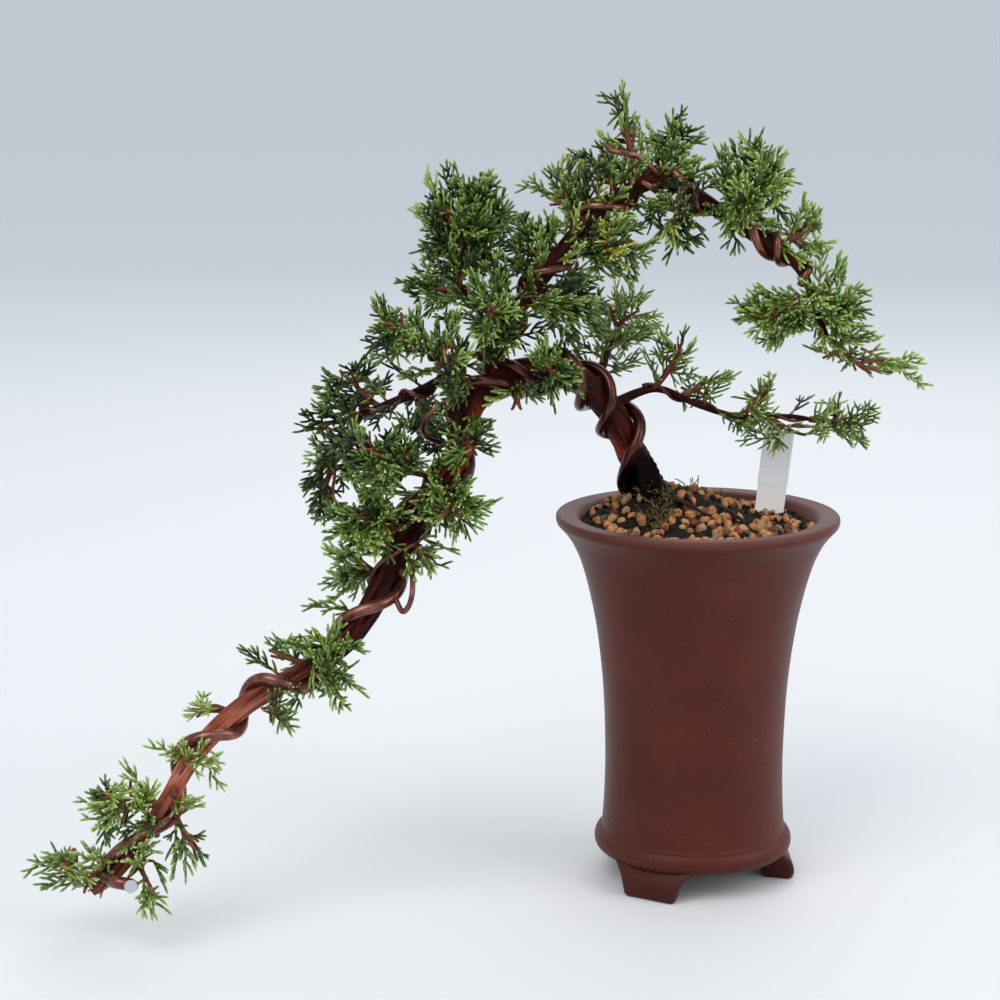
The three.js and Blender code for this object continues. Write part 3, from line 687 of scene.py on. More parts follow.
class Line:
    """A limb's route as closely spaced places: point, radius, run, heading and two cross directions."""

    def __init__(self, route):
        traced = smooth_line(np.asarray(route, float)[:, :3], LINE_STEPS)
        self.along = np.arange(len(traced)) / LINE_STEPS
        self.point = traced
        self.radius = np.interp(self.along, np.arange(len(route)), [p[3] for p in route])
        self.run = np.concatenate([[0], np.cumsum(np.linalg.norm(np.diff(traced, axis=0), axis=1))])
        padded = np.vstack([traced[:1], traced, traced[-1:]])
        self.heading = unit(padded[2:] - padded[:-2])
        across = FRONT
        self.across = np.zeros_like(traced)
        for i, heading in enumerate(self.heading):
            across = unit(across - heading * (across @ heading))
            self.across[i] = across
        self.sideways = np.cross(self.heading, self.across)

    def at_run(self, run, values):
        """Values of the line at the given distances along it."""
        return np.stack([np.interp(run, self.run, column) for column in np.atleast_2d(values.T)], axis=-1)

    def outward(self, run, turn):
        """Directions straight out of the limb at distances along it, turned round it from its front."""
        across = self.at_run(run, self.across) * np.cos(turn)[:, None]
        return across + self.at_run(run, self.sideways) * np.sin(turn)[:, None]


def stretch_of(line, start, end):
    """The places of a line between two points of its route."""
    return np.flatnonzero((line.along >= start) & (line.along <= end))


main_line = Line(MAIN_LINE)
apex_line = Line(APEX_LINE)
bough_lines = {name: Line(route) for name, route in BOUGHS.items()}
print("main line", round(main_line.run[-1]), "mm, apex line", round(apex_line.run[-1]), "mm")

# %% [markdown]
# ## Bark
# Juniper bark is made of long fibres that twist slowly round the limb, with furrows between them,
# and it flakes off to a warm red. Low on the cascade the outer bark has come away to smoother wood,
# and its paler colour there is partly that wood and partly a painted highlight. At the soil the bark
# is wet and almost black, and the boughs are darkened in patches in the same way. The furrows are
# real relief: each limb is a fine tube whose radius follows a few sharp waves that wind along it.
# The material reads the same relief as an attribute and paints shade into the furrows, and a second
# attribute gives it a grain along the limb.

# %% Bark finish
bark = Finish("bark", (84, 32, 20), 0.45, specular=0.09)
along_grain = bark.attribute("grain", "Vector")
flakes = bark.noise(along_grain, 0.42, 4.0, 0.65)
fibres = bark.noise(along_grain, 2.6, 5.0, 0.7)
rough = bark.ramp(
    flakes, (0.36, (22, 5, 3)), (0.5, (50, 12, 7)), (0.64, (92, 26, 13)), (0.8, (150, 62, 33)))
# The paler tone where the outer bark is gone low on the cascade, lightened partly as a painted highlight.
peeled_and_highlight_tone = bark.ramp(flakes, (0.3, (122, 52, 38)), (0.5, (184, 98, 76)), (0.72, (226, 160, 140)))
peeled_and_highlit = bark.attribute("peeled_and_highlit", "Fac")
flaked = bark.multiply(bark.attribute("flaked", "Fac"), bark.span(flakes, 0.3, 0.55, 0.3, 1.0))
weathered = bark.span(peeled_and_highlit, 0.0, 1.0, 1.0, 0.5)
dark_fibres = bark.multiply(bark.span(fibres, 0.42, 0.68, 0.0, 0.6), weathered)
# Painted shade darkens the furrows of the bark's relief.
painted_furrow_shade = bark.span(bark.attribute("relief", "Fac"), -0.1, -0.75, 0.0, 0.8)
ragged = bark.span(bark.noise(along_grain, 0.5, 4.0, 0.7), 0.25, 0.6, 0.35, 1.0)
# The wet, almost black foot, and darker patches on the boughs through the same value.
dark_and_damp_patches = bark.multiply(bark.attribute("damp", "Fac"), ragged)
bark.color_from(bark.coats(
    rough, (peeled_and_highlit, peeled_and_highlight_tone), (flaked, (152, 48, 18)), (dark_fibres, (40, 15, 10)),
    (bark.multiply(painted_furrow_shade, weathered), (16, 6, 4)),
    (bark.span(dark_and_damp_patches, 0.25, 0.5, 0.0, 0.97), (9, 5, 4)),
))
bark.roughness_from(bark.span(flakes, 0.3, 0.7, 0.36, 0.6))
bark.bump(fibres, 0.45, 0.0005)
bark.bump(bark.multiply(bark.noise(bark.place(), 420.0, 4.0, 0.7), dark_and_damp_patches), 1.0, 0.003)
print("bark:", len(bark.tree.nodes), "nodes")

# %% Bark relief
FIBRE_WAVES = ((3, 0.30), (5, 0.34), (8, 0.30), (13, 0.20))
FIBRE_TWISTS = (0.012, 0.03)
FIBRE_WANDER, WANDER_PACES = 0.9, (0.04, 0.1)
FURROW_SHARPNESS = 3
FIBRE_DEPTH = 0.085
DEEPEST_FURROW = 0.5
LUMP_DEPTH = 0.06
LUMP_PACES = (0.11, 0.07)
RING_SPACING = 0.8
SWELL_REACH = 6
FLARE_LOBES, FLARE_TURN = 5, 1.0
FLARE_DEPTH = 0.26
FLARE_REACH = 9.0
CLOD_DEPTH = 0.07
CLOD_WAVES = ((7, 0.9), (3, -1.3))
DAMP_FROM, DAMP_TO = 33.0, 21.0
# Where the bark has lost its outer layer low on the cascade; its paler colour there is partly a painted
# highlight.
PEELED_AND_HIGHLIT_AT = (240.0, 310.0, 325.0, 350.0)
PEELED_AND_HIGHLIT_SHARE = (0.0, 1.0, 1.0, 0.35)
PEELED_SMOOTHING = 0.55
FLAKED_PATCHES = [(1.9, 9.0, -0.8, 0.8), (7.2, 9.0, -0.5, 0.8), (8.35, 11.0, -0.7, 0.9)]
PATCH_CORE, PATCH_FADE = 1.5, 1.3
GRAIN_STRETCH = 0.16


def bark_relief(run, angle, seed):
    """Fibres that wind along a limb: 1 on their backs, -1 in the furrows between them."""
    deal = np.random.default_rng(seed)
    total = np.zeros(np.broadcast(run, angle).shape)
    for count, share in FIBRE_WAVES:
        twist = deal.uniform(*FIBRE_TWISTS)
        wander = FIBRE_WANDER * np.sin(run * deal.uniform(*WANDER_PACES) + deal.uniform(0, ANY_TURN))
        phase = count * (angle / 2 + twist * run) + wander + deal.uniform(0, ANY_TURN)
        total += share * (1 - 2 * np.abs(np.cos(phase)) ** FURROW_SHARPNESS)
    return total / sum(share for _, share in FIBRE_WAVES)


def flaked_share(line, run, angle):
    """1 in the patches where the outer bark has come off, fading to 0 round them."""
    flaked = np.zeros(np.broadcast(run, angle).shape)
    for along, half, middle, spread in FLAKED_PATCHES:
        off = np.angle(np.exp(1j * (angle - middle))) / spread
        patch = np.hypot((run - np.interp(along, line.along, line.run)) / half, off)
        flaked = np.maximum(flaked, np.clip(PATCH_CORE - PATCH_FADE * patch, 0, 1))
    return flaked


# %% Tubes of bark
def bark_tube(line, sides, seed, root_swell, start=0.0, darkening=0.0):
    """Points, triangles and bark values of one limb, closed at its tip and at its foot."""
    run = np.linspace(start, line.run[-1], int((line.run[-1] - start) / RING_SPACING))[:, None]
    angle = (2 * np.pi * np.arange(sides) / sides)[None, :]
    radius = line.at_run(run[:, 0], line.radius)
    point = line.at_run(run[:, 0], line.point)
    relief = bark_relief(run, angle, seed)
    lumps = np.sin(angle + LUMP_PACES[0] * run + seed) * np.sin(LUMP_PACES[1] * run + 2 * seed)
    swell = 1 + root_swell * np.exp(-(run - start) / SWELL_REACH)
    depth = np.minimum(FIBRE_DEPTH * radius, DEEPEST_FURROW)
    bare_and_highlit, damp, flaked = np.zeros((3, *relief.shape))
    # The boughs are darkened in patches through the same value as the wet foot.
    damp += darkening
    if line is main_line:
        # Bark with its outer layer gone, low on the cascade; its paler colour is partly a painted
        # highlight.
        bare_and_highlit = bare_and_highlit + np.interp(run, PEELED_AND_HIGHLIT_AT, PEELED_AND_HIGHLIT_SHARE)
    reach = radius * swell * (1 + LUMP_DEPTH * lumps) + depth * relief * (1 - PEELED_SMOOTHING * bare_and_highlit)
    if line is main_line:
        flaked = flaked_share(line, run, angle)
        rise = np.maximum(point[:, 2:] - GROUND, 0)
        damp = damp + np.clip((DAMP_FROM - run + start) / (DAMP_FROM - DAMP_TO), 0, 1)
        lobes = np.cos(FLARE_LOBES * angle + FLARE_TURN) * np.exp(-rise / FLARE_REACH)
        clods = np.prod([np.sin(count * angle + pace * run) for count, pace in CLOD_WAVES], axis=0)
        reach = reach * (1 + FLARE_DEPTH * lobes + CLOD_DEPTH * damp * clods)
    across = line.at_run(run[:, 0], line.across)[:, None]
    sideways = line.at_run(run[:, 0], line.sideways)[:, None]
    wave = (np.cos(angle)[..., None] * across + np.sin(angle)[..., None] * sideways) * reach[..., None]
    points, triangles = skin(point[:, None] + wave)
    along = np.broadcast_to(GRAIN_STRETCH * run, reach.shape)
    grain = np.stack([reach * np.cos(angle), reach * np.sin(angle), along], -1)
    grain = np.vstack([grain.reshape(-1, 3), np.zeros((2, 3))])
    values = {"relief": relief, "damp": damp, "peeled_and_highlit": bare_and_highlit, "flaked": flaked}
    values = {name: np.concatenate([value.ravel(), [0.0, 0.0]]) for name, value in values.items()}
    return points, triangles, grain, values


def bark_piece(name, tubes, *nodes):
    """Tubes of bark joined into one piece, with the values that its finish reads."""
    points, faces, grain, values = zip(*tubes)
    shifts = np.cumsum([0] + [len(p) for p in points[:-1]])
    joined = np.vstack([face + shift for face, shift in zip(faces, shifts)])
    piece = mesh_object(name, np.vstack(points), joined, [bark.material])
    add_attribute(piece, "grain", "FLOAT_VECTOR", np.vstack(grain))
    for value in values[0]:
        add_attribute(piece, value, "FLOAT", np.concatenate([tube[value] for tube in values]))
    hand_over(piece, "bark", *nodes)


# %% Trunk, apex and boughs
SOIL_SINK = 9.0
CLIMBING_PLACES = 16
TRUNK_SIDES, APEX_SIDES, BOUGH_SIDES = 72, 48, 28
TRUNK_SWELL, APEX_SWELL, BOUGH_SWELL = 0.3, 0.25, 0.5
TRUNK_SEED, APEX_SEED, FIRST_BOUGH_SEED = 1, 2, 3
# How much the boughs are darkened in patches, as the foot is.
BOUGH_DARKENING = 0.42

trunk_climb = main_line.point[:CLIMBING_PLACES, 2]
ground_run = np.interp(GROUND - SOIL_SINK, trunk_climb, main_line.run[:CLIMBING_PLACES])
trunk_tube = bark_tube(main_line, TRUNK_SIDES, TRUNK_SEED, start=ground_run, root_swell=TRUNK_SWELL)
apex_tube = bark_tube(apex_line, APEX_SIDES, APEX_SEED, root_swell=APEX_SWELL)
bough_tubes = [
    bark_tube(line, BOUGH_SIDES, seed, root_swell=BOUGH_SWELL, darkening=BOUGH_DARKENING)
    for seed, line in enumerate(bough_lines.values(), FIRST_BOUGH_SEED)
]
bark_piece("trunk_and_cascade", [trunk_tube], "trunk", "cascade_upper", "cascade_lower")
bark_piece("apex_limb", [apex_tube], "apex_rise", "apex_fall")
bark_piece("boughs", bough_tubes, *BOUGHS)

# %% [markdown]
# ## Training wire
# Brown aluminium wire holds the bends: thick wire winds from the soil to the tip of the cascade, a
# thinner one up the apex, and thin strands hold the boughs. It shines where it is bare, is stained
# almost black where it meets the wet soil, and carries painted shade round the foot and up the trunk,
# where the foliage shades it. A wire follows a path, so Geometry Nodes make it: the winding is worked
# out as a line of edges, and the tree sweeps a circle along it.

# %% Wire finish
WET_FOOT = (-24.0, 5.0, 164.0)
TRUNK_SHADE_REACH = (130 * MM, 50 * MM)
SOIL_REACH = (22 * MM, 17 * MM)

wire = Finish("brown_wire", (112, 56, 44), 0.3, metallic=0.75, specular=0.8)
streak = wire.noise(wire.place(), 160.0, 4.0)
bare_wire = wire.ramp(streak, (0.3, (88, 47, 39)), (0.55, (126, 76, 65)), (0.8, (168, 118, 106)))
# Painted shade on the wire round the foot of the trunk and up it.
painted_trunk_shade = wire.multiply(wire.near(to_frame(WET_FOOT), *TRUNK_SHADE_REACH), 0.85)
at_soil = wire.near(to_frame(WET_FOOT), *SOIL_REACH)
wire.color_from(wire.coats(bare_wire, (painted_trunk_shade, (60, 21, 15)), (at_soil, (14, 8, 7))))
wire.roughness_from(wire.span(streak, 0.3, 0.7, 0.17, 0.32))
wire.roughen(900.0, 2.0, 0.06, 0.0003)
cut_metal = Finish("cut_aluminium", (206, 208, 210), 0.3, metallic=0.9)
cut_metal.roughen(1600.0, 2.0, 0.2, 0.0003)
print("wire:", len(wire.tree.nodes), "nodes")

# %% A node tree that sweeps a wire along a line
WIRE_SIDES = 14


def wire_tree():
    nodes = MeshNodes("sweep_wire", wire_radius="Float", finish="Material")
    path = nodes.node("GeometryNodeMeshToCurve", Mesh=nodes.given["Geometry"]).outputs["Curve"]
    circle = nodes.node(
        "GeometryNodeCurvePrimitiveCircle", Resolution=WIRE_SIDES, Radius=nodes.given["Wire radius"])
    swept = nodes.node(
        "GeometryNodeCurveToMesh", Curve=path, Profile_Curve=circle.outputs["Curve"], Fill_Caps=True)
    return nodes.painted(swept.outputs["Mesh"])


# %% Windings
WIRE_PRESS = 0.1
WIRE_STEP = 1.4
WIRE_CREASE = math.radians(60)
LOOSE_STEPS = 6
THICK_FRONTS = (-30, 32, 70, 104, 158, 213, 263, 297, 343, 411)
THICK_WIRE = dict(radius=2.6, start=0.4, end=18.4, fronts=THICK_FRONTS)
THIN_WIRE = dict(radius=1.8, pitch=35, turn_at=2.9, start=0.9, end=9.2)
SECOND_STRAND = dict(radius=2.2, pitch=40, turn_at=3.1, start=2.0, end=6.4)
FINE_WIRES = {
    "left_bough": dict(radius=0.9, pitch=19, turn_at=1.0, start=0.4, end=3.9),
    "crown_twig": dict(radius=0.9, pitch=15, turn_at=0.6, start=0.2, end=2.9),
    "shoulder_twig": dict(radius=0.9, pitch=14, turn_at=1.2, start=0.5, end=2.8),
    "right_bough": dict(radius=0.65, pitch=26, turn_at=2.0, start=1.2, end=5.7),
}
APEX_HOOKS = dict(radius=1.7, pitch=17, turn_at=8.6, start=8.2, end=9.7)
CREST_STRAND = dict(radius=1.3, pitch=23, turn_at=6.8, start=5.3, end=7.9)
CASCADE_STRAND = dict(radius=1.1, pitch=47, turn_at=9.95, start=7.2, end=11.0)
WIRE_TAIL = [(-236, -93, 29), (-229.5, -95, 28.5), (-228.6, -101, 30)]
LOOSE_STRANDS = {
    "knee_loop": [
        (-124, -26, 147), (-121, -30, 145), (-119.5, -38, 140), (-119.5, -42, 134), (-121, -43, 129),
        (-123.5, -42, 126.5), (-126, -38.5, 130), (-127, -36, 133),
    ],
    "shoulder_strand": [
        (-109, -20, 224), (-107.5, -24, 227), (-103, -24.5, 229), (-97, -21, 229.5), (-90, -13.5, 229),
        (-86, -12, 228),
    ],
    "fork_strand": [
        (-97, -15, 214), (-102, -18, 212), (-108, -20, 208.5), (-113, -20, 204), (-115.5, -19, 199),
        (-114, -14, 194), (-109, -9, 191),
    ],
    "peak_loop": [
        (-17, -2, 299), (-19.5, -5.5, 302.5), (-26.5, -8, 308.5), (-31, -10, 310), (-35.5, -10, 311),
        (-39, -8, 312), (-40.5, -4, 314), (-39, 1, 315), (-35.5, 4, 315), (-31, 5, 314.5),
    ],
}
LOOSE_RADIUS = 1.15
print("loose strands:", ", ".join(LOOSE_STRANDS))

# %% Winding and sweeping
swept_wire = wire_tree()


def winding(line, radius, start, end, pitch=1.0, turn_at=0.0, fronts=()):
    """The middle of a wire wound round a limb. It passes the limb's front at each of its fronts, in
    distances along the limb, or once for each pitch from turn_at on."""
    first, last, front = np.interp([start, end, turn_at], line.along, line.run)
    run = np.linspace(first, last, int((last - first) / WIRE_STEP))
    turns = np.interp(run, fronts, np.arange(len(fronts))) if fronts else (run - front) / pitch
    turn = 2 * np.pi * turns
    reach = line.at_run(run, line.radius)[:, 0] + radius + WIRE_PRESS
    return line.at_run(run, line.point) + line.outward(run, turn) * reach[:, None]


def sweep(name, path, radius, *nodes):
    """A wire swept along a path, with bright metal on its cut ends, which have more than four corners."""
    mesh = bpy.data.meshes.new(name)
    edges = np.stack([np.arange(len(path) - 1), np.arange(1, len(path))], axis=1)
    mesh.from_pydata(to_frame(path).tolist(), edges.tolist(), [])
    piece = run_tree(name, mesh, swept_wire, wire_radius=radius * MM, finish=wire.material)
    piece.data.set_sharp_from_angle(angle=WIRE_CREASE)
    piece.data.materials.append(cut_metal.material)
    for face in piece.data.polygons:
        if len(face.vertices) > 4:
            face.material_index = 1
    hand_over(piece, "wire", *nodes)


def make_wire(name, line, spec, *nodes, tail=()):
    """A wire wound round a limb, with a loose tail where it has one."""
    path = winding(line, **spec)
    if tail:
        path = np.vstack([path, smooth_line([path[-1], *tail], LOOSE_STEPS)[1:]])
    sweep(name, path, spec["radius"], *nodes)


# %% All the wires
make_wire("thick_wire", main_line, THICK_WIRE, "trunk_wire", tail=WIRE_TAIL)
make_wire("apex_wire_strand", apex_line, THIN_WIRE, "apex_wire")
make_wire("second_strand", main_line, SECOND_STRAND)
make_wire("apex_hooks", apex_line, APEX_HOOKS)
make_wire("crest_strand", apex_line, CREST_STRAND)
make_wire("cascade_strand", main_line, CASCADE_STRAND)
for name, spec in FINE_WIRES.items():
    make_wire(f"{name}_wire", bough_lines[name], spec)
for name, route in LOOSE_STRANDS.items():
    sweep(name, smooth_line(route, LOOSE_STEPS), LOOSE_RADIUS)

# %% [markdown]
# ## Foliage
# A juniper's shoot is a slim rod of overlapping scales, with shorter rods forking from it on both
# sides, like a feather. A mass of foliage is one woody stem from a limb, twigs from the stem toward
# all sides of its egg-shaped space, and plumes of shoots on every twig. The stems and the first
# directions follow the rule that made the solids. The plumes carry it on to fine shoots.

# %% Where the masses hang
SEED = 11
MASSES = {
    "crown": [
        ("crown_left", "crown_twig", (-97, 10, 279), (22, 22, 23)),
        ("crown_right", "apex_rise", (-71, -2, 271), (11, 14, 15)),
        ("crown_low", "crown_twig", (-112, 4, 253), (12, 11, 9)),
        ("shoulder", "shoulder_twig", (-125, -22, 240), (14, 13, 14)),
        ("fork_front", "cascade_upper", (-104, -31, 228), (10, 12, 18)),
        ("fork_top", "apex_rise", (-86, -24, 246), (12, 12, 21)),
        ("trunk_top", "trunk", (-62, -25, 223), (11, 9, 12)),
        ("trunk_drop", "trunk", (-76, -23, 211), (9, 8, 10)),
    ],
    "left": [
        ("left_upper", "left_bough", (-145, 15, 212), (18, 15, 12)),
        ("left_inner", "left_bough", (-114, 12, 194), (12, 13, 14)),
        ("left_outer", "left_bough", (-157, 10, 196), (12, 12, 10)),
        ("left_lower", "left_bough", (-157, 20, 170), (8, 12, 18)),
        ("bend_front", "cascade_upper", (-131, -44, 191), (18, 15, 14)),
        ("bend_right", "cascade_upper", (-96, -34, 194), (9, 10, 9)),
    ],
    "drop": [
        ("drop_right", "cascade_upper", (-103, -37, 169), (15, 11, 12)),
        ("drop_left", "cascade_upper", (-136, -40, 164), (15, 12, 14)),
        ("knee_top", "cascade_upper", (-145, -21, 138), (11, 12, 11)),
        ("knee_right", "cascade_upper", (-116, -26, 145), (10, 10, 9)),
        ("knee_front", "cascade_lower", (-153, -58, 107), (14, 13, 21)),
        ("run_top", "cascade_lower", (-172, -43, 108), (11, 11, 8)),
        ("run_under", "cascade_lower", (-175, -66, 91), (8, 10, 7)),
    ],
    "tip": [
        ("run_back", "cascade_lower", (-204, -56, 89), (8, 8, 7)),
        ("run_low", "cascade_lower", (-208, -81, 75), (14, 9, 9.5)),
        ("low_left", "cascade_lower", (-233, -86, 59), (16, 11, 19)),
        ("low_drop", "cascade_lower", (-208, -84, 45), (9, 10, 14)),
        ("tip_left", "cascade_lower", (-254, -80, 30), (17, 12, 14)),
        ("tip_right", "cascade_lower", (-224, -92, 31), (10, 11, 12)),
    ],
    "rise": [
        ("rise_left", "apex_rise", (-56, 3, 291), (13, 14, 18)),
        ("rise_low", "apex_rise", (-55, 4, 247), (14, 13, 15)),
        ("peak", "apex_rise", (-34, 0, 323), (8, 8, 16)),
        ("peak_left", "apex_rise", (-38, 5, 303), (12, 12, 9)),
        ("peak_right", "apex_fall", (-14, 5, 311), (15, 12, 14)),
        ("rise_right", "apex_rise", (-38, -14, 272), (15, 14, 14)),
        ("arch_under", "apex_fall", (-12, -12, 283), (18, 13, 13)),
    ],
    "fall": [
        ("crest", "apex_fall", (19, -10, 295), (17, 15, 24)),
        ("crest_right", "apex_fall", (43, -9, 279), (9, 11, 10)),
        ("fall_right", "apex_fall", (52, -14, 251), (12, 12, 20)),
        ("fall_left", "apex_fall", (31, -16, 245), (14, 14, 13)),
        ("fall_end", "apex_fall", (63, -21, 226), (28, 13, 10)),
    ],
    "right": [
        ("back", "back_bough", (-31, 48, 234), (16, 18, 18)),
        ("right_up", "right_bough", (-10, 0, 226), (10, 12, 10)),
        ("right_inner", "right_bough", (1, 15, 212), (10, 11, 8)),
        ("right_mid", "right_bough", (26, 6, 208), (11, 11, 8)),
        ("right_under", "right_bough", (37, 2, 195), (19, 10, 8)),
        ("right_tip", "right_bough", (63, 9, 196), (11, 13, 11)),
    ],
}
LIMB_PLACES = {
    "trunk": (main_line, stretch_of(main_line, 0, FORK_AT)),
    "cascade_upper": (main_line, stretch_of(main_line, FORK_AT, KNEE_AT)),
    "cascade_lower": (main_line, stretch_of(main_line, KNEE_AT, np.inf)),
    "apex_rise": (apex_line, stretch_of(apex_line, 0, CREST_AT)),
    "apex_fall": (apex_line, stretch_of(apex_line, CREST_AT, np.inf)),
    **{name: (line, stretch_of(line, 0, np.inf)) for name, line in bough_lines.items()},
}
print("masses:", sum(len(masses) for masses in MASSES.values()))

# %% [markdown]
# ## Greens
# Old scales are dark and dull and young ones are fresh. The foot of each shoot also carries painted
# shade from deep in the plume, and its tip a painted highlight where it catches the light. So every
# shade is a pair of colours, and a shoot goes from one to the other in three tones: foot, middle and
# tip. Each tone is a plain finish of its own, and each plume is dealt one shade.

# %% Greens
LEAF_SHADES = {
    "deep": ((14, 23, 4), (54, 74, 25)),
    "mid": ((34, 51, 11), (107, 133, 53)),
    "fresh": ((68, 90, 23), (138, 168, 86)),
    "pale": ((102, 122, 37), (170, 194, 122)),
    "golden": ((130, 134, 40), (176, 178, 72)),
}
# The foot tone is partly old scales and partly painted shade, the tip tone partly young growth and partly
# a painted highlight.
TONE_SHARES = {"foot": 0.0, "middle": 0.6, "tip": 1.0}


def between(first, second, share):
    """A colour that is the given share of the way from the first to the second."""
    return tuple((1 - share) * a + share * b for a, b in zip(first, second))


def leaf_finish(name, color):
    finish = Finish(name, color, 0.42, specular=0.4)
    finish.roughen(1400.0, 2.0, 0.2, 0.0003)
    return finish.material


leaf_materials = []
for shade, tones in LEAF_SHADES.items():
    for part, share in TONE_SHARES.items():
        leaf_materials.append(leaf_finish(f"leaf_{shade}_{part}", between(*tones, share)))
GOLDEN = list(LEAF_SHADES).index("golden")
YOUNG_STEM = len(leaf_materials)
leaf_materials.append(leaf_finish("young_stem", (146, 86, 38)))
print("leaf finishes:", len(leaf_materials))

# %% [markdown]
# ## Shoots
# A shoot is about a millimetre thick, and thousands are needed, too many to model one by one. Every
# shoot, twig, root and strand of moss is therefore a closed rod along a curve of three places, and
# all the rods of a piece are worked out at once, as arrays.

# %% Shoots from arrays
UPRIGHT = 0.9


def bezier(curve, t):
    """Places on a curve of start, bend and end, at shares of the way along it."""
    start, bend, end = curve
    t = np.asarray(t, float)[..., None]
    return (1 - t) ** 2 * start + 2 * t * (1 - t) * bend + t**2 * end


def rod_faces(sides, rings):
    """Triangles of one closed rod, and the ring that each of them begins at."""
    here = np.arange(sides)
    after = np.roll(here, -1)
    faces, begun = [], []
    for ring in range(rings - 1):
        low, high = ring * sides, (ring + 1) * sides
        straight = after if ring % 2 else here
        faces.append(np.stack([low + here, low + after, high + straight], 1))
        faces.append(np.stack([low + here, high + straight, high + np.roll(straight, 1)], 1))
        begun.append(np.full(2 * sides, ring))
    top = (rings - 1) * sides
    faces.append(np.stack([after, here, np.full(sides, rings * sides)], 1))
    faces.append(np.stack([top + here, top + after, np.full(sides, rings * sides + 1)], 1))
    begun += [np.zeros(sides, int), np.full(sides, rings - 1)]
    return np.concatenate(faces), np.concatenate(begun)


def rods(curves, thick, sides, marks, girth):
    """Closed rods along curves of start, bend and end: points and triangles of them all, and the ring
    that each triangle begins at. Rings turn by half a side, as pairs of scales do."""
    count, rings = len(curves), len(marks)
    start, bend, end = curves.transpose(1, 0, 2)[:, :, None]
    line = bezier((start, bend, end), [marks])
    t = np.asarray(marks)[:, None]
    heading = unit(2 * (1 - t) * (bend - start) + 2 * t * (end - bend))
    upright = np.abs(heading[..., 2:]) > UPRIGHT
    side = unit(np.cross(heading, np.where(upright, [1.0, 0, 0], [0, 0, 1.0])))
    other = np.cross(heading, side)
    turn = 2 * np.pi * (np.arange(sides)[None, :] + 0.5 * (np.arange(rings) % 2)[:, None]) / sides
    turn = turn[None, :, :, None]
    out = np.cos(turn) * side[:, :, None] + np.sin(turn) * other[:, :, None]
    reach = np.broadcast_to(thick, count)[:, None] * np.asarray(girth)[None, :]
    surface = line[:, :, None] + reach[:, :, None, None] * out
    points = np.concatenate([surface.reshape(count, -1, 3), start, end], axis=1)
    faces, begun = rod_faces(sides, rings)
    shift = (np.arange(count) * points.shape[1])[:, None, None]
    return points.reshape(-1, 3), (faces[None] + shift).reshape(-1, 3), np.tile(begun, count)


def rod_piece(name, curves, thick, sides, form, finish, slot):
    """Rods of one finish as a piece. Their form is the marks along a rod and its girth at each."""
    points, faces, _ = rods(np.asarray(curves, float), thick, sides, *form)
    hand_over(mesh_object(name, points, faces, [finish.material]), slot)


# %% [markdown]
# ## How a mass grows
# On the tree a side stem leaves its limb a little behind the mass, sweeps along with the limb and
# then turns toward the light. Its twigs stand about it in a spiral, as leaves do. The same few
# rules placed the solids, so a mass made by them fills the space that its solid has.

# %% The rule of growth
STEM_SET_BACK = 0.35
STEM_SWEEP = 0.12
STEM_OVERRUN = 0.15
SPRAY_SHARE = 0.22
SPRAY_POWER = 0.6
FIRST_ROOT, LAST_ROOT = 0.35, 0.97
GOLDEN_ANGLE = math.pi * (3 - math.sqrt(5))
NUDGE = 0.03


def chance(n):
    """A repeatable number from 0 to 1 for each whole number."""
    value = math.sin(n * 12.9898 + 4.1414) * 43758.5453
    return value - math.floor(value)


def heading_at(curve, t):
    """Directions of a curve at shares of the way along it."""
    return unit(bezier(curve, t + NUDGE) - bezier(curve, t - NUDGE))


def stem_curve(limb, middle):
    """A stem leaves its limb near the middle of its mass and runs on a little past that middle."""
    line, places = LIMB_PLACES[limb]
    away = np.linalg.norm(line.point[places] - middle, axis=1)
    wanted = max(int(round(np.argmin(away) - STEM_SET_BACK * LINE_STEPS)), 0)
    place = places[wanted]
    root = line.point[place]
    ahead = middle - root
    bend = root + 0.5 * ahead + STEM_SWEEP * np.linalg.norm(ahead) * line.heading[place]
    return root, bend, middle + STEM_OVERRUN * ahead


def even_directions(count, spin, ahead):
    """Directions spread evenly over a sphere, from the leading end of the mass to its back."""
    k = np.arange(count)
    rise = 1 - 2 * (k + 0.5) / count
    turn = spin + k * GOLDEN_ANGLE
    level = np.sqrt(1 - rise**2)
    spread = np.stack([level * np.cos(turn), level * np.sin(turn), rise], axis=1)
    directions = np.vstack([ahead, spread])
    return directions[np.argsort(-directions @ ahead)]


# %% [markdown]
# ## Plumes
# Each twig carries a few plumes. A plume's shoots stand out to the left and right in turn, longer
# near its foot than at its tip, and lean forward and a little up to the light. Some of them fork
# once more. In a mass, a shoot that would leave its space or run into a limb is left out, which
# keeps the gaps where sky shows.

# %% Plume sizes
PLUME_SHARE = 0.15
PLUME_DENSITY = {
    "crown": 1.05, "left": 0.84, "drop": 1.06, "tip": 0.42, "rise": 0.92, "fall": 1.15, "right": 0.6,
}
MASS_DENSITY = {
    "fall_end": 0.16, "back": 1.05, "fall_left": 1.25, "fall_right": 1.15,
    "fork_front": 0.7, "trunk_drop": 0.7, "knee_front": 0.55, "run_top": 0.8, "run_under": 0.8,
    "low_left": 1.35, "tip_right": 1.3, "bend_front": 1.2, "drop_left": 1.12, "drop_right": 1.12,
    "right_under": 1.4, "right_tip": 1.6, "peak": 0.8, "arch_under": 0.85, "rise_left": 0.88,
}
TWIG_SHARE, TWIG_SWAY = 0.62, 0.07
FIRST_PLUME = 0.25
PLUME_SPREAD, SPREAD_AT_FOOT = 0.75, 1.3
PLUME_REACH = (0.6, 1.02)
PLUME_SWAY, PLUME_SAG = 0.08, 0.05
PLUME_LONGEST = 27.0
PLUME_SHORTEST = 7.0
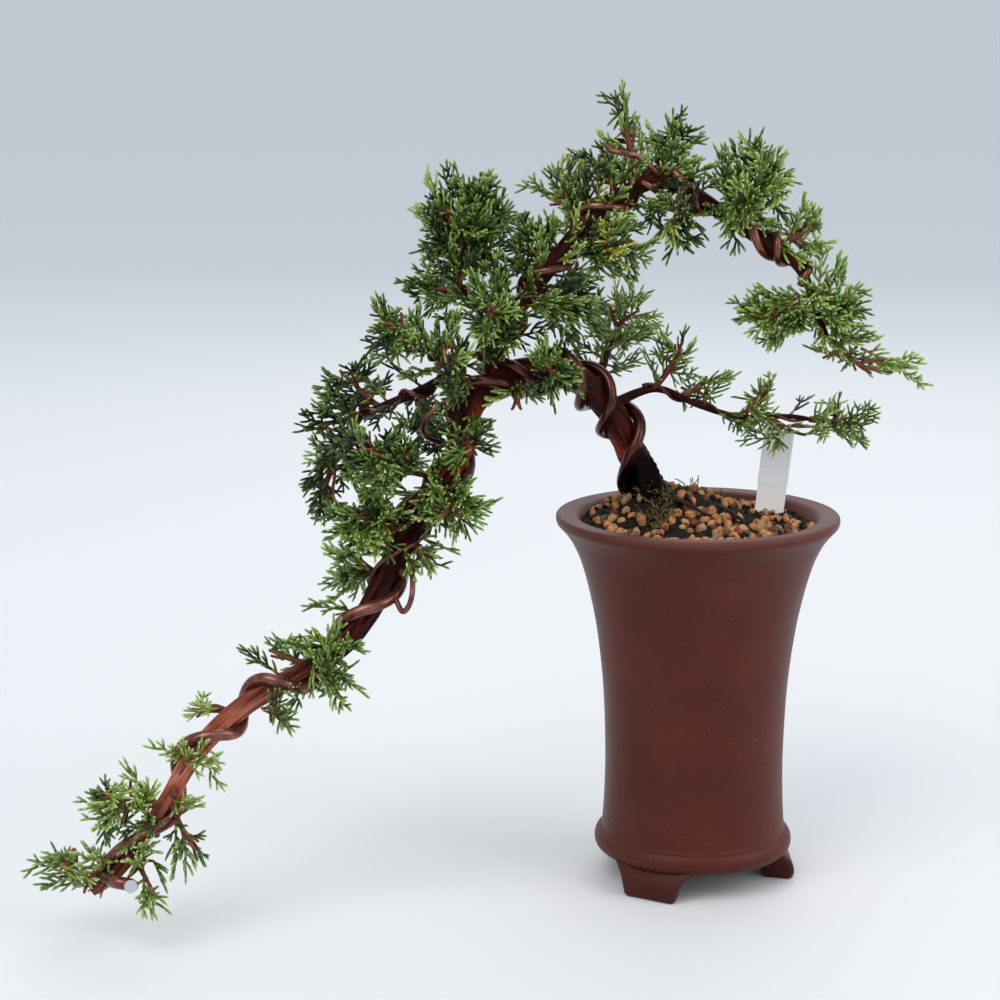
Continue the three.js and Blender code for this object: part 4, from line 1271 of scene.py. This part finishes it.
STEM_PLUME_SPACING = 4.0
STEM_PLUME_PLACES = (0.08, 0.85)
STEM_PLUME_LENGTHS = (11.0, 19.0)
STEM_PLUME_LEAN, STEM_PLUME_SWAY = 0.8, 0.8
STEM_PLUME_ROOM = 1.6
LIMB_PLUMES = {
    "crown": [
        (apex_line, 1.3, 2.3, 9), (bough_lines["crown_twig"], 0.6, 3.0, 12),
        (bough_lines["shoulder_twig"], 1.0, 3.0, 6),
    ],
    "left": [(main_line, 7.2, 8.6, 7), (bough_lines["left_bough"], 1.2, 3.9, 9)],
    "drop": [(main_line, 8.7, 10.4, 12), (main_line, 11.5, 13.5, 10)],
    "tip": [(main_line, 15.9, 18.2, 6)],
    "rise": [(apex_line, 2.3, 5.5, 30)],
    "fall": [(apex_line, 6.4, 8.0, 9), (apex_line, 9.8, 11.6, 13), (apex_line, 11.5, 12.0, 6)],
    "right": [(bough_lines["right_bough"], 2.6, 5.6, 8), (bough_lines["back_bough"], 0.9, 3.0, 11)],
}
LEADERS = {
    "crown": [
        ((-104, 8, 278), (-110, 8, 289), (-113, 8, 299)),
        ((-104, 2, 274), (-111, 2, 280), (-116, 2, 284)),
        ((-93, 6, 274), (-86, 6, 283), (-84, 6, 289)),
    ],
    "rise": [((-31, 0, 311), (-32, 0, 322), (-33, 0, 333))],
    "fall": [((64, -20, 232), (77, -21, 226), (90, -21, 217))],
    "tip": [((-244, -80, 29), (-256, -80, 26), (-266, -80, 23))],
}
SLENDER_LEADERS = {"fall": 0.5}
LIMB_PLUME_LENGTHS = (11.0, 18.0)
LIMB_PLUME_LEAN, LIMB_PLUME_BOW = 0.6, 1.2
STEEPEST_DROP = -0.6
LIGHT_LEAN = 0.14
SPACE_EDGE = 1.1
LIMB_ROOM = 0.8

limb_lines = [main_line, apex_line, *bough_lines.values()]
limb_points = np.vstack([line.point for line in limb_lines])
limb_radii = np.concatenate([line.radius for line in limb_lines])
print("limbs to keep clear of:", len(limb_lines))

# %% Side shoots of a plume
SHOOT_SPACING, FEWEST_SHOOTS = 1.9, 5
SHOOT_PLACES, PLACE_SCATTER = (0.12, 0.97), 0.02
SHOOT_ROLL = 0.5
SHOOT_LEANS, LEAN_SCATTER = (0.88, 0.38), 0.12
SHOOT_SHARE, SHOOT_AT_FOOT, SHOOT_TAPER = 0.44, 1.1, 0.5
SHOOT_SCATTER = (0.75, 1.2)
SHOOT_BOW, SHOOT_REACH, SHOOT_SWEEP = 0.08, 0.94, 0.16
SHOOT_LONGEST, SHOOT_SHORTEST = 13.5, 7.0
FORK_SHARES = (0.6, 0.35)
FORK_PLACES = (0.15, 0.5)
FORK_LENGTHS = (0.5, 0.75)
FORK_OPENING, FORK_BOW = 0.7, 0.06


def plume_shoots(curve, deal):
    """The side shoots of a plume: their curves, and the broad direction that they lie across."""
    length = np.linalg.norm(curve[2] - curve[0])
    count = max(int(length / SHOOT_SPACING), FEWEST_SHOOTS)
    s = np.linspace(*SHOOT_PLACES, count) + deal.uniform(-PLACE_SCATTER, PLACE_SCATTER, count)
    start = bezier(curve, s)
    heading = heading_at(curve, s)
    flat = unit(np.cross(heading, unit(deal.normal(size=3))))
    broad = np.cross(heading, flat)
    side = np.where(np.arange(count) % 2, 1.0, -1.0)
    roll = deal.normal(0, SHOOT_ROLL, count)
    out = flat * (side * np.cos(roll))[:, None] + broad * np.sin(roll)[:, None]
    lean = np.interp(s, [0, 1], SHOOT_LEANS) + deal.uniform(-LEAN_SCATTER, LEAN_SCATTER, count)
    direction = unit(heading * np.cos(lean)[:, None] + out * np.sin(lean)[:, None] + [0, 0, LIGHT_LEAN])
    long = SHOOT_SHARE * length * (SHOOT_AT_FOOT - SHOOT_TAPER * s)
    long = np.clip(long, SHOOT_SHORTEST, SHOOT_LONGEST)
    long = (long * deal.uniform(*SHOOT_SCATTER, count))[:, None]
    bend = start + 0.5 * long * direction + SHOOT_BOW * long * out
    end = start + SHOOT_REACH * long * direction + SHOOT_SWEEP * long * heading
    return np.stack([start, bend, end], axis=1), broad


def shoot_forks(shoots, broad, deal):
    """Shorter shoots that fork from some of the side shoots, one aside and for some a second one back."""
    forks = []
    for side, share in zip((1, -1), FORK_SHARES):
        forked = deal.random(len(shoots)) < share
        start, bend, end = shoots[forked].transpose(1, 0, 2)
        root = bezier((start, bend, end), deal.uniform(*FORK_PLACES, len(start)))
        along = unit(end - start)
        aside = side * np.cross(along, broad[forked])
        length = np.linalg.norm(end - start, axis=1, keepdims=True)
        reach = deal.uniform(*FORK_LENGTHS, (len(start), 1)) * length
        tip = root + reach * unit(along + FORK_OPENING * aside)
        forks.append(np.stack([root, (root + tip) / 2 + FORK_BOW * reach * aside, tip], axis=1))
    return np.concatenate(forks)


# %% Plumes on stems and limbs
def free_ends(curves, middle, half):
    """Which curves keep to the mass's space and end clear of the limbs."""
    ends = curves[:, 2]
    far = np.linalg.norm((ends - middle) / half, axis=1)
    away = np.linalg.norm(ends[:, None] - limb_points[None], axis=2)
    return (far < SPACE_EDGE) & (away > limb_radii + LIMB_ROOM).all(axis=1)


def stem_plumes(stem, density, deal):
    """Short plumes all round the foot of a stem, between its limb and its mass."""
    count = int(density * np.linalg.norm(stem[2] - stem[0]) / STEM_PLUME_SPACING)
    s = np.linspace(*STEM_PLUME_PLACES, count)
    foot = bezier(stem, s)
    heading = heading_at(stem, s)
    aside = unit(np.cross(heading, deal.normal(size=(count, 3))))
    reach = unit(STEM_PLUME_LEAN * heading + aside) * deal.uniform(*STEM_PLUME_LENGTHS, (count, 1))
    bend = foot + 0.5 * reach + deal.normal(0, STEM_PLUME_SWAY, (count, 3))
    return np.stack([foot, bend, foot + reach], axis=1)


def limb_plumes(line, start, end, count, deal):
    """Short plumes that stand straight on a limb, turned round it one after another."""
    run = np.linspace(*np.interp([start, end], line.along, line.run), count)
    out = line.outward(run, deal.uniform(0, 2 * np.pi) + GOLDEN_ANGLE * np.arange(count))
    foot = line.at_run(run, line.point) + out * line.at_run(run, line.radius)
    toward = unit(out + LIMB_PLUME_LEAN * line.at_run(run, line.heading) + [0, 0, LIGHT_LEAN])
    reach = toward * deal.uniform(*LIMB_PLUME_LENGTHS, (count, 1))
    curves = np.stack([foot, foot + 0.5 * reach + LIMB_PLUME_BOW * out, foot + reach], axis=1)
    return curves[toward[:, 2] > STEEPEST_DROP]


# %% Twigs and plumes of a mass
def mass_plumes(stem, middle, half, index, density, deal):
    """The twigs of a mass and the curves of the plumes that stand on them."""
    area = (half[0] * half[1] + half[1] * half[2] + half[2] * half[0]) / 3
    count = round(SPRAY_SHARE * area**SPRAY_POWER)
    each = max(round(PLUME_SHARE * density * area / (count + 1)), 1)
    ahead = unit(stem[2] - stem[1])
    twigs, plumes = [], []
    for k, direction in enumerate(even_directions(count, 2 * math.pi * chance(SEED + index), ahead)):
        root = bezier(stem, LAST_ROOT + (FIRST_ROOT - LAST_ROOT) * k / count)
        tip = middle + direction * half
        end = root + TWIG_SHARE * (tip - root)
        bend = (root + end) / 2 + deal.normal(0, TWIG_SWAY, 3) * np.linalg.norm(tip - root)
        twigs.append((root, bend, end))
        for j in range(each):
            foot = bezier(twigs[-1], FIRST_PLUME + (1 - FIRST_PLUME) * j / max(each - 1, 1))
            toward = unit(direction + PLUME_SPREAD * (SPREAD_AT_FOOT - j / each) * deal.normal(size=3))
            reach = middle + toward * half * deal.uniform(*PLUME_REACH) - foot
            length = np.linalg.norm(reach)
            if length < PLUME_SHORTEST:
                continue
            reach = reach * min(1, PLUME_LONGEST / length)
            sway = deal.normal(0, PLUME_SWAY, 3) * length + [0, 0, -PLUME_SAG * length]
            plumes.append((foot, foot + 0.5 * reach + sway, foot + reach))
    plumes = np.array(plumes)
    on_stem = stem_plumes(stem, density, deal)
    on_stem = on_stem[free_ends(on_stem, middle, STEM_PLUME_ROOM * half)]
    return twigs, np.concatenate([plumes[free_ends(plumes, middle, half)], on_stem])


# %% Shades and forms of the shoots
SHOOT_RADIUS, SHOOT_SIDES = 0.56, 4
SLIM_GROUPS = {"right": 0.84}
SHOOT_FORM = ((0.0, 0.22, 0.44, 0.66, 0.86, 0.97), (0.95, 1.06, 0.98, 1.0, 0.9, 0.56))
FORK_FORM = ((0.0, 0.42, 0.8, 0.96), (0.92, 1.02, 0.92, 0.56))
AXIS_FORM = ((0.0, 0.18, 0.36, 0.54, 0.72, 0.92), (1.25, 1.2, 1.12, 1.05, 0.98, 0.6))
SHOOT_KINDS = {"shoot": (SHOOT_FORM, (2, 4)), "fork": (FORK_FORM, (1, 2)), "axis": (AXIS_FORM, (3, 5))}
FRESHNESS = {
    "crown": -0.06, "left": -0.17, "drop": 0.12, "tip": 0.24, "rise": 0.04, "fall": 0.2, "right": 0.22,
}
GOLDEN_MASSES, GOLDEN_ELSEWHERE = {"rise_left": 0.3, "crown_right": 0.12, "peak_left": 0.15}, 0.005
# Painted light: the back mass, which the masses in front shade, is dealt lighter shades.
PAINTED_LIGHT_MASSES = {"back": 0.24}
SHADE_STEPS = (0.26, 0.56, 0.84)
SHADE_LUCK, OUTER_GAIN, OUTER_MIDDLE = 0.75, 0.3, 0.3
LIMB_OUTWARD, LEADER_OUTWARD = 0.7, 1.2


def pick_shade(deal, name, group, outward):
    """A plume's shade: fresher toward the outside of its mass, golden on the youngest growth."""
    if deal.random() < GOLDEN_MASSES.get(name, GOLDEN_ELSEWHERE):
        return GOLDEN
    value = deal.random() * SHADE_LUCK + OUTER_GAIN * (outward - OUTER_MIDDLE)
    # Some masses are lifted to lighter shades as painted light.
    value = value + FRESHNESS[group] + PAINTED_LIGHT_MASSES.get(name, 0.0)
    return int(np.searchsorted(SHADE_STEPS, value))


def leaf_piece(group, grown, shades):
    """One piece from all the shoots of a group, with a tone picked for each triangle."""
    points, faces, picks = [], [], []
    for kind, (form, tone_rings) in SHOOT_KINDS.items():
        curves = np.concatenate(grown[kind])
        thick = SHOOT_RADIUS * SLIM_GROUPS.get(group, 1.0)
        made, triangles, begun = rods(curves, thick, SHOOT_SIDES, *form)
        faces.append(triangles + sum(len(p) for p in points))
        points.append(made)
        each = len(triangles) // len(curves)
        tone = np.searchsorted(tone_rings, begun, side="right")
        pick = len(TONE_SHARES) * np.repeat(np.concatenate(shades[kind]), each) + tone
        if kind == "axis":
            pick = np.where(begun == 0, YOUNG_STEM, np.where(begun == 1, len(TONE_SHARES) * GOLDEN, pick))
        picks.append(pick)
    name = f"{group}_foliage"
    return mesh_object(name, np.vstack(points), np.vstack(faces), leaf_materials, np.concatenate(picks))


# %% Grow every mass
MASS_SEEDS, LIMB_SEEDS = 1000 * SEED, 500 * SEED


def grow_group(group, first_index):
    """All the foliage of one part of the tree, as one piece, and the woody curves that carry it."""
    grown = {kind: [] for kind in SHOOT_KINDS}
    shades = {kind: [] for kind in SHOOT_KINDS}
    stems, twigs = [], []

    def add_plume(curve, shoots, broad, shade, deal):
        forks = shoot_forks(shoots, broad, deal)
        for kind, curves in (("shoot", shoots), ("fork", forks), ("axis", curve[None])):
            grown[kind].append(curves)
            shades[kind].append(np.full(len(curves), shade))

    for index, (name, limb, middle, half) in enumerate(MASSES[group], first_index):
        deal = np.random.default_rng(MASS_SEEDS + index)
        middle, half = np.array(middle, float), np.array(half, float)
        stem = stem_curve(limb, middle)
        stems.append(stem)
        density = PLUME_DENSITY[group] * MASS_DENSITY.get(name, 1.0)
        mass_twigs, plumes = mass_plumes(stem, middle, half, index, density, deal)
        twigs += mass_twigs
        for curve in plumes:
            shoots, broad = plume_shoots(curve, deal)
            kept = free_ends(shoots, middle, STEM_PLUME_ROOM * half)
            shade = pick_shade(deal, name, group, np.linalg.norm((curve[2] - middle) / half))
            add_plume(curve, shoots[kept], broad[kept], shade, deal)
    deal = np.random.default_rng(LIMB_SEEDS + first_index)
    for stretch in LIMB_PLUMES[group]:
        for curve in limb_plumes(*stretch, deal):
            add_plume(curve, *plume_shoots(curve, deal), pick_shade(deal, "", group, LIMB_OUTWARD), deal)
    for leader in LEADERS.get(group, ()):
        curve = np.array(leader, float)
        shoots, broad = plume_shoots(curve, deal)
        shoots = shoots[:, :1] + SLENDER_LEADERS.get(group, 1.0) * (shoots - shoots[:, :1])
        add_plume(curve, shoots, broad, pick_shade(deal, "", group, LEADER_OUTWARD), deal)
    piece = leaf_piece(group, grown, shades)
    hand_over(piece, "foliage", *[f"foliage_{mass[0]}" for mass in MASSES[group]])
    return stems, twigs


stem_curves, twig_curves = [], []
next_index = 0
for group in MASSES:
    stems, twigs = grow_group(group, next_index)
    next_index += len(MASSES[group])
    stem_curves += stems
    twig_curves += twigs

# %% [markdown]
# ## Twigs
# Under the green the stems and twigs are woody: thin, red-brown and a little rough. They are drawn
# as rods too, thicker than the shoots. Short stubs, where side branches were cut off the cascade,
# go with them, and all of them make one piece.

# %% Woody twigs
STEM_RADIUS, TWIG_RADIUS, STUB_RADIUS = 1.35, 0.8, 1.8
STUBS = [(8.1, -0.3), (9.3, 0.4), (10.4, -0.9), (13.4, 0.3), (15.7, 0.1), (16.5, -0.5), (17.2, 0.3)]
STUB_LENGTH, STUB_ROOT, STUB_LEAN = 4.0, 0.9, 0.5
WOOD_FORM = ((0.0, 0.2, 0.4, 0.6, 0.8, 0.97), (1.1, 1.0, 0.95, 0.88, 0.8, 0.7))
WOOD_SIDES = 6

twig_wood = Finish("twig_wood", (104, 52, 32), 0.7)
knots = twig_wood.mottle(480.0, 4.0, (0.3, (60, 28, 20)), (0.55, (108, 54, 33)), (0.78, (150, 88, 48)))
twig_wood.bump(knots, 0.6, 0.0006)


def cut_stubs(line, places):
    """Short stubs where side branches were cut off close to the limb."""
    along, turn = np.transpose(places)
    run = np.interp(along, line.along, line.run)
    out = line.outward(run, turn)
    foot = line.at_run(run, line.point) + out * line.at_run(run, line.radius) * STUB_ROOT
    tip = foot + STUB_LENGTH * unit(out + STUB_LEAN * line.at_run(run, line.heading))
    return [(start, (start + end) / 2, end) for start, end in zip(foot, tip)]


stub_curves = cut_stubs(main_line, STUBS)
counts = [len(stem_curves), len(twig_curves), len(stub_curves)]
thickness = np.repeat([STEM_RADIUS, TWIG_RADIUS, STUB_RADIUS], counts)
wood_curves = stem_curves + twig_curves + stub_curves
rod_piece("woody_twigs", wood_curves, thickness, WOOD_SIDES, WOOD_FORM, twig_wood, "bark")

# %% [markdown]
# ## Moss and bits of root
# Dry moss clings to the mound by the trunk and a few bits of root lie on the soil. They are thin
# rods again: moss strands stand in tufts at a few places, each leaning its own way, and the roots
# are single bent sticks.

# %% Moss and roots
MOSS_TUFTS = [(-20, 2, 26), (-17, -12, 30), (-13, -1, 22), (-19, -16, 20), (-4, 14, 14), (12, 22, 10)]
MOSS_SPREAD = 3.2
MOSS_LENGTHS = (3.0, 7.0)
ROOT_BITS = [
    ((-7, 14, 168), (-6, 3, 169), (-2, -11, 163.5)),
    ((2, 20, 163), (10, 22, 163), (18, 25, 160)),
    ((-12, -6, 167), (-5, -9, 165.5), (3, -13, 160.5)),
    ((8, 4, 161.5), (13, -2, 161), (19, -12, 157.5)),
]
ROOT_RADIUS, ROOT_SIDES = 0.9, 7
MOSS_RADIUS, MOSS_SIDES = 0.28, 3
MOSS_SEED = 77
MOSS_LIFT = 2.5
MOSS_TANGLE, MOSS_LEAN, MOSS_SWAY = 0.8, (0, -0.2, 0.6), 0.9

moss = Finish("dry_moss", (116, 106, 56), 0.85, specular=0.15)
moss.mottle(260.0, 3.0, (0.35, (66, 66, 30)), (0.55, (112, 104, 54)), (0.75, (160, 140, 84)))
deal = np.random.default_rng(MOSS_SEED)
strands = []
for x, y, count in MOSS_TUFTS:
    foot = np.array([x, y, 0]) + deal.normal(0, MOSS_SPREAD, (count, 3)) * [1, 1, 0]
    foot[:, 2] = soil_height(foot[:, 0], foot[:, 1]) + deal.uniform(0, MOSS_LIFT, count)
    lean = unit(deal.normal(0, MOSS_TANGLE, (count, 3)) + MOSS_LEAN)
    tip = foot + lean * deal.uniform(*MOSS_LENGTHS, (count, 1))
    strands.append(np.stack([foot, (foot + tip) / 2 + deal.normal(0, MOSS_SWAY, (count, 3)), tip], axis=1))
rod_piece("dry_moss", np.concatenate(strands), MOSS_RADIUS, MOSS_SIDES, SHOOT_FORM, moss, "soil")

root = Finish("dark_root", (44, 29, 22), 0.8, specular=0.2)
root.bump(root.mottle(700.0, 4.0, (0.35, (24, 15, 11)), (0.7, (66, 44, 33))), 0.5, 0.0004)
rod_piece("root_bits", ROOT_BITS, ROOT_RADIUS, ROOT_SIDES, WOOD_FORM, root, "soil")

# %% [markdown]
# ## Studio
# The tree stands on a plain pale floor under soft light: a broad lamp above and in front, a weaker
# one from the other side, a third from behind, and a pale sky that fills the shadows.

# %% Studio
HALF_FLOOR = 200.0
SKY_LOW, SKY_HIGH, SKY_BAND = (192, 200, 210), (223, 230, 239), 0.25
SKY_STRENGTH = 1.0
LAMPS = {
    "key_lamp": ((-0.8, -1.2, 1.7), 1.4, 18.5),
    "fill_lamp": ((1.4, -0.6, 0.9), 1.2, 11.0),
    "back_lamp": ((0.3, 1.3, 1.4), 1.2, 7.0),
}
LAMP_COLOR = (1.0, 0.95, 0.88)
LAMP_AIM = np.array([0, 0, 0.17])

bpy.context.scene.view_settings.view_transform = "Standard"
floor_mesh = bpy.data.meshes.new("floor")
corners = [(HALF_FLOOR * x, HALF_FLOOR * y, 0) for x, y in ((-1, -1), (1, -1), (1, 1), (-1, 1))]
floor_mesh.from_pydata(corners, [], [(0, 1, 2, 3)])
floor = bpy.data.objects.new("floor", floor_mesh)
bpy.context.scene.collection.objects.link(floor)
floor.data.materials.append(Finish("floor", (221, 223, 225), 0.9, specular=0.0).material)

world = bpy.data.worlds.new("studio")
bpy.context.scene.world = world
world.use_nodes = True
sky = Nodes(world.node_tree)
skyward = sky.node("ShaderNodeTexCoord").outputs["Generated"]
sky_height = sky.node("ShaderNodeSeparateXYZ", Vector=skyward).outputs["Z"]
background = world.node_tree.nodes["Background"]
sky.put(background.inputs["Color"], sky.ramp(sky_height, (0.0, SKY_LOW), (SKY_BAND, SKY_HIGH)))
sky.put(background.inputs["Strength"], SKY_STRENGTH)
for name, (place, size, power) in LAMPS.items():
    lamp = bpy.data.objects.new(name, bpy.data.lights.new(name, "AREA"))
    lamp.data.size = size
    lamp.data.energy = power
    lamp.data.color = LAMP_COLOR
    lamp.location = place
    aim = LAMP_AIM - np.array(place)
    tilt = math.atan2(np.hypot(aim[0], aim[1]), -aim[2])
    lamp.rotation_euler = (tilt, 0, math.atan2(aim[1], aim[0]) - math.pi / 2)
    bpy.context.scene.collection.objects.link(lamp)
print("lamps:", ", ".join(LAMPS))
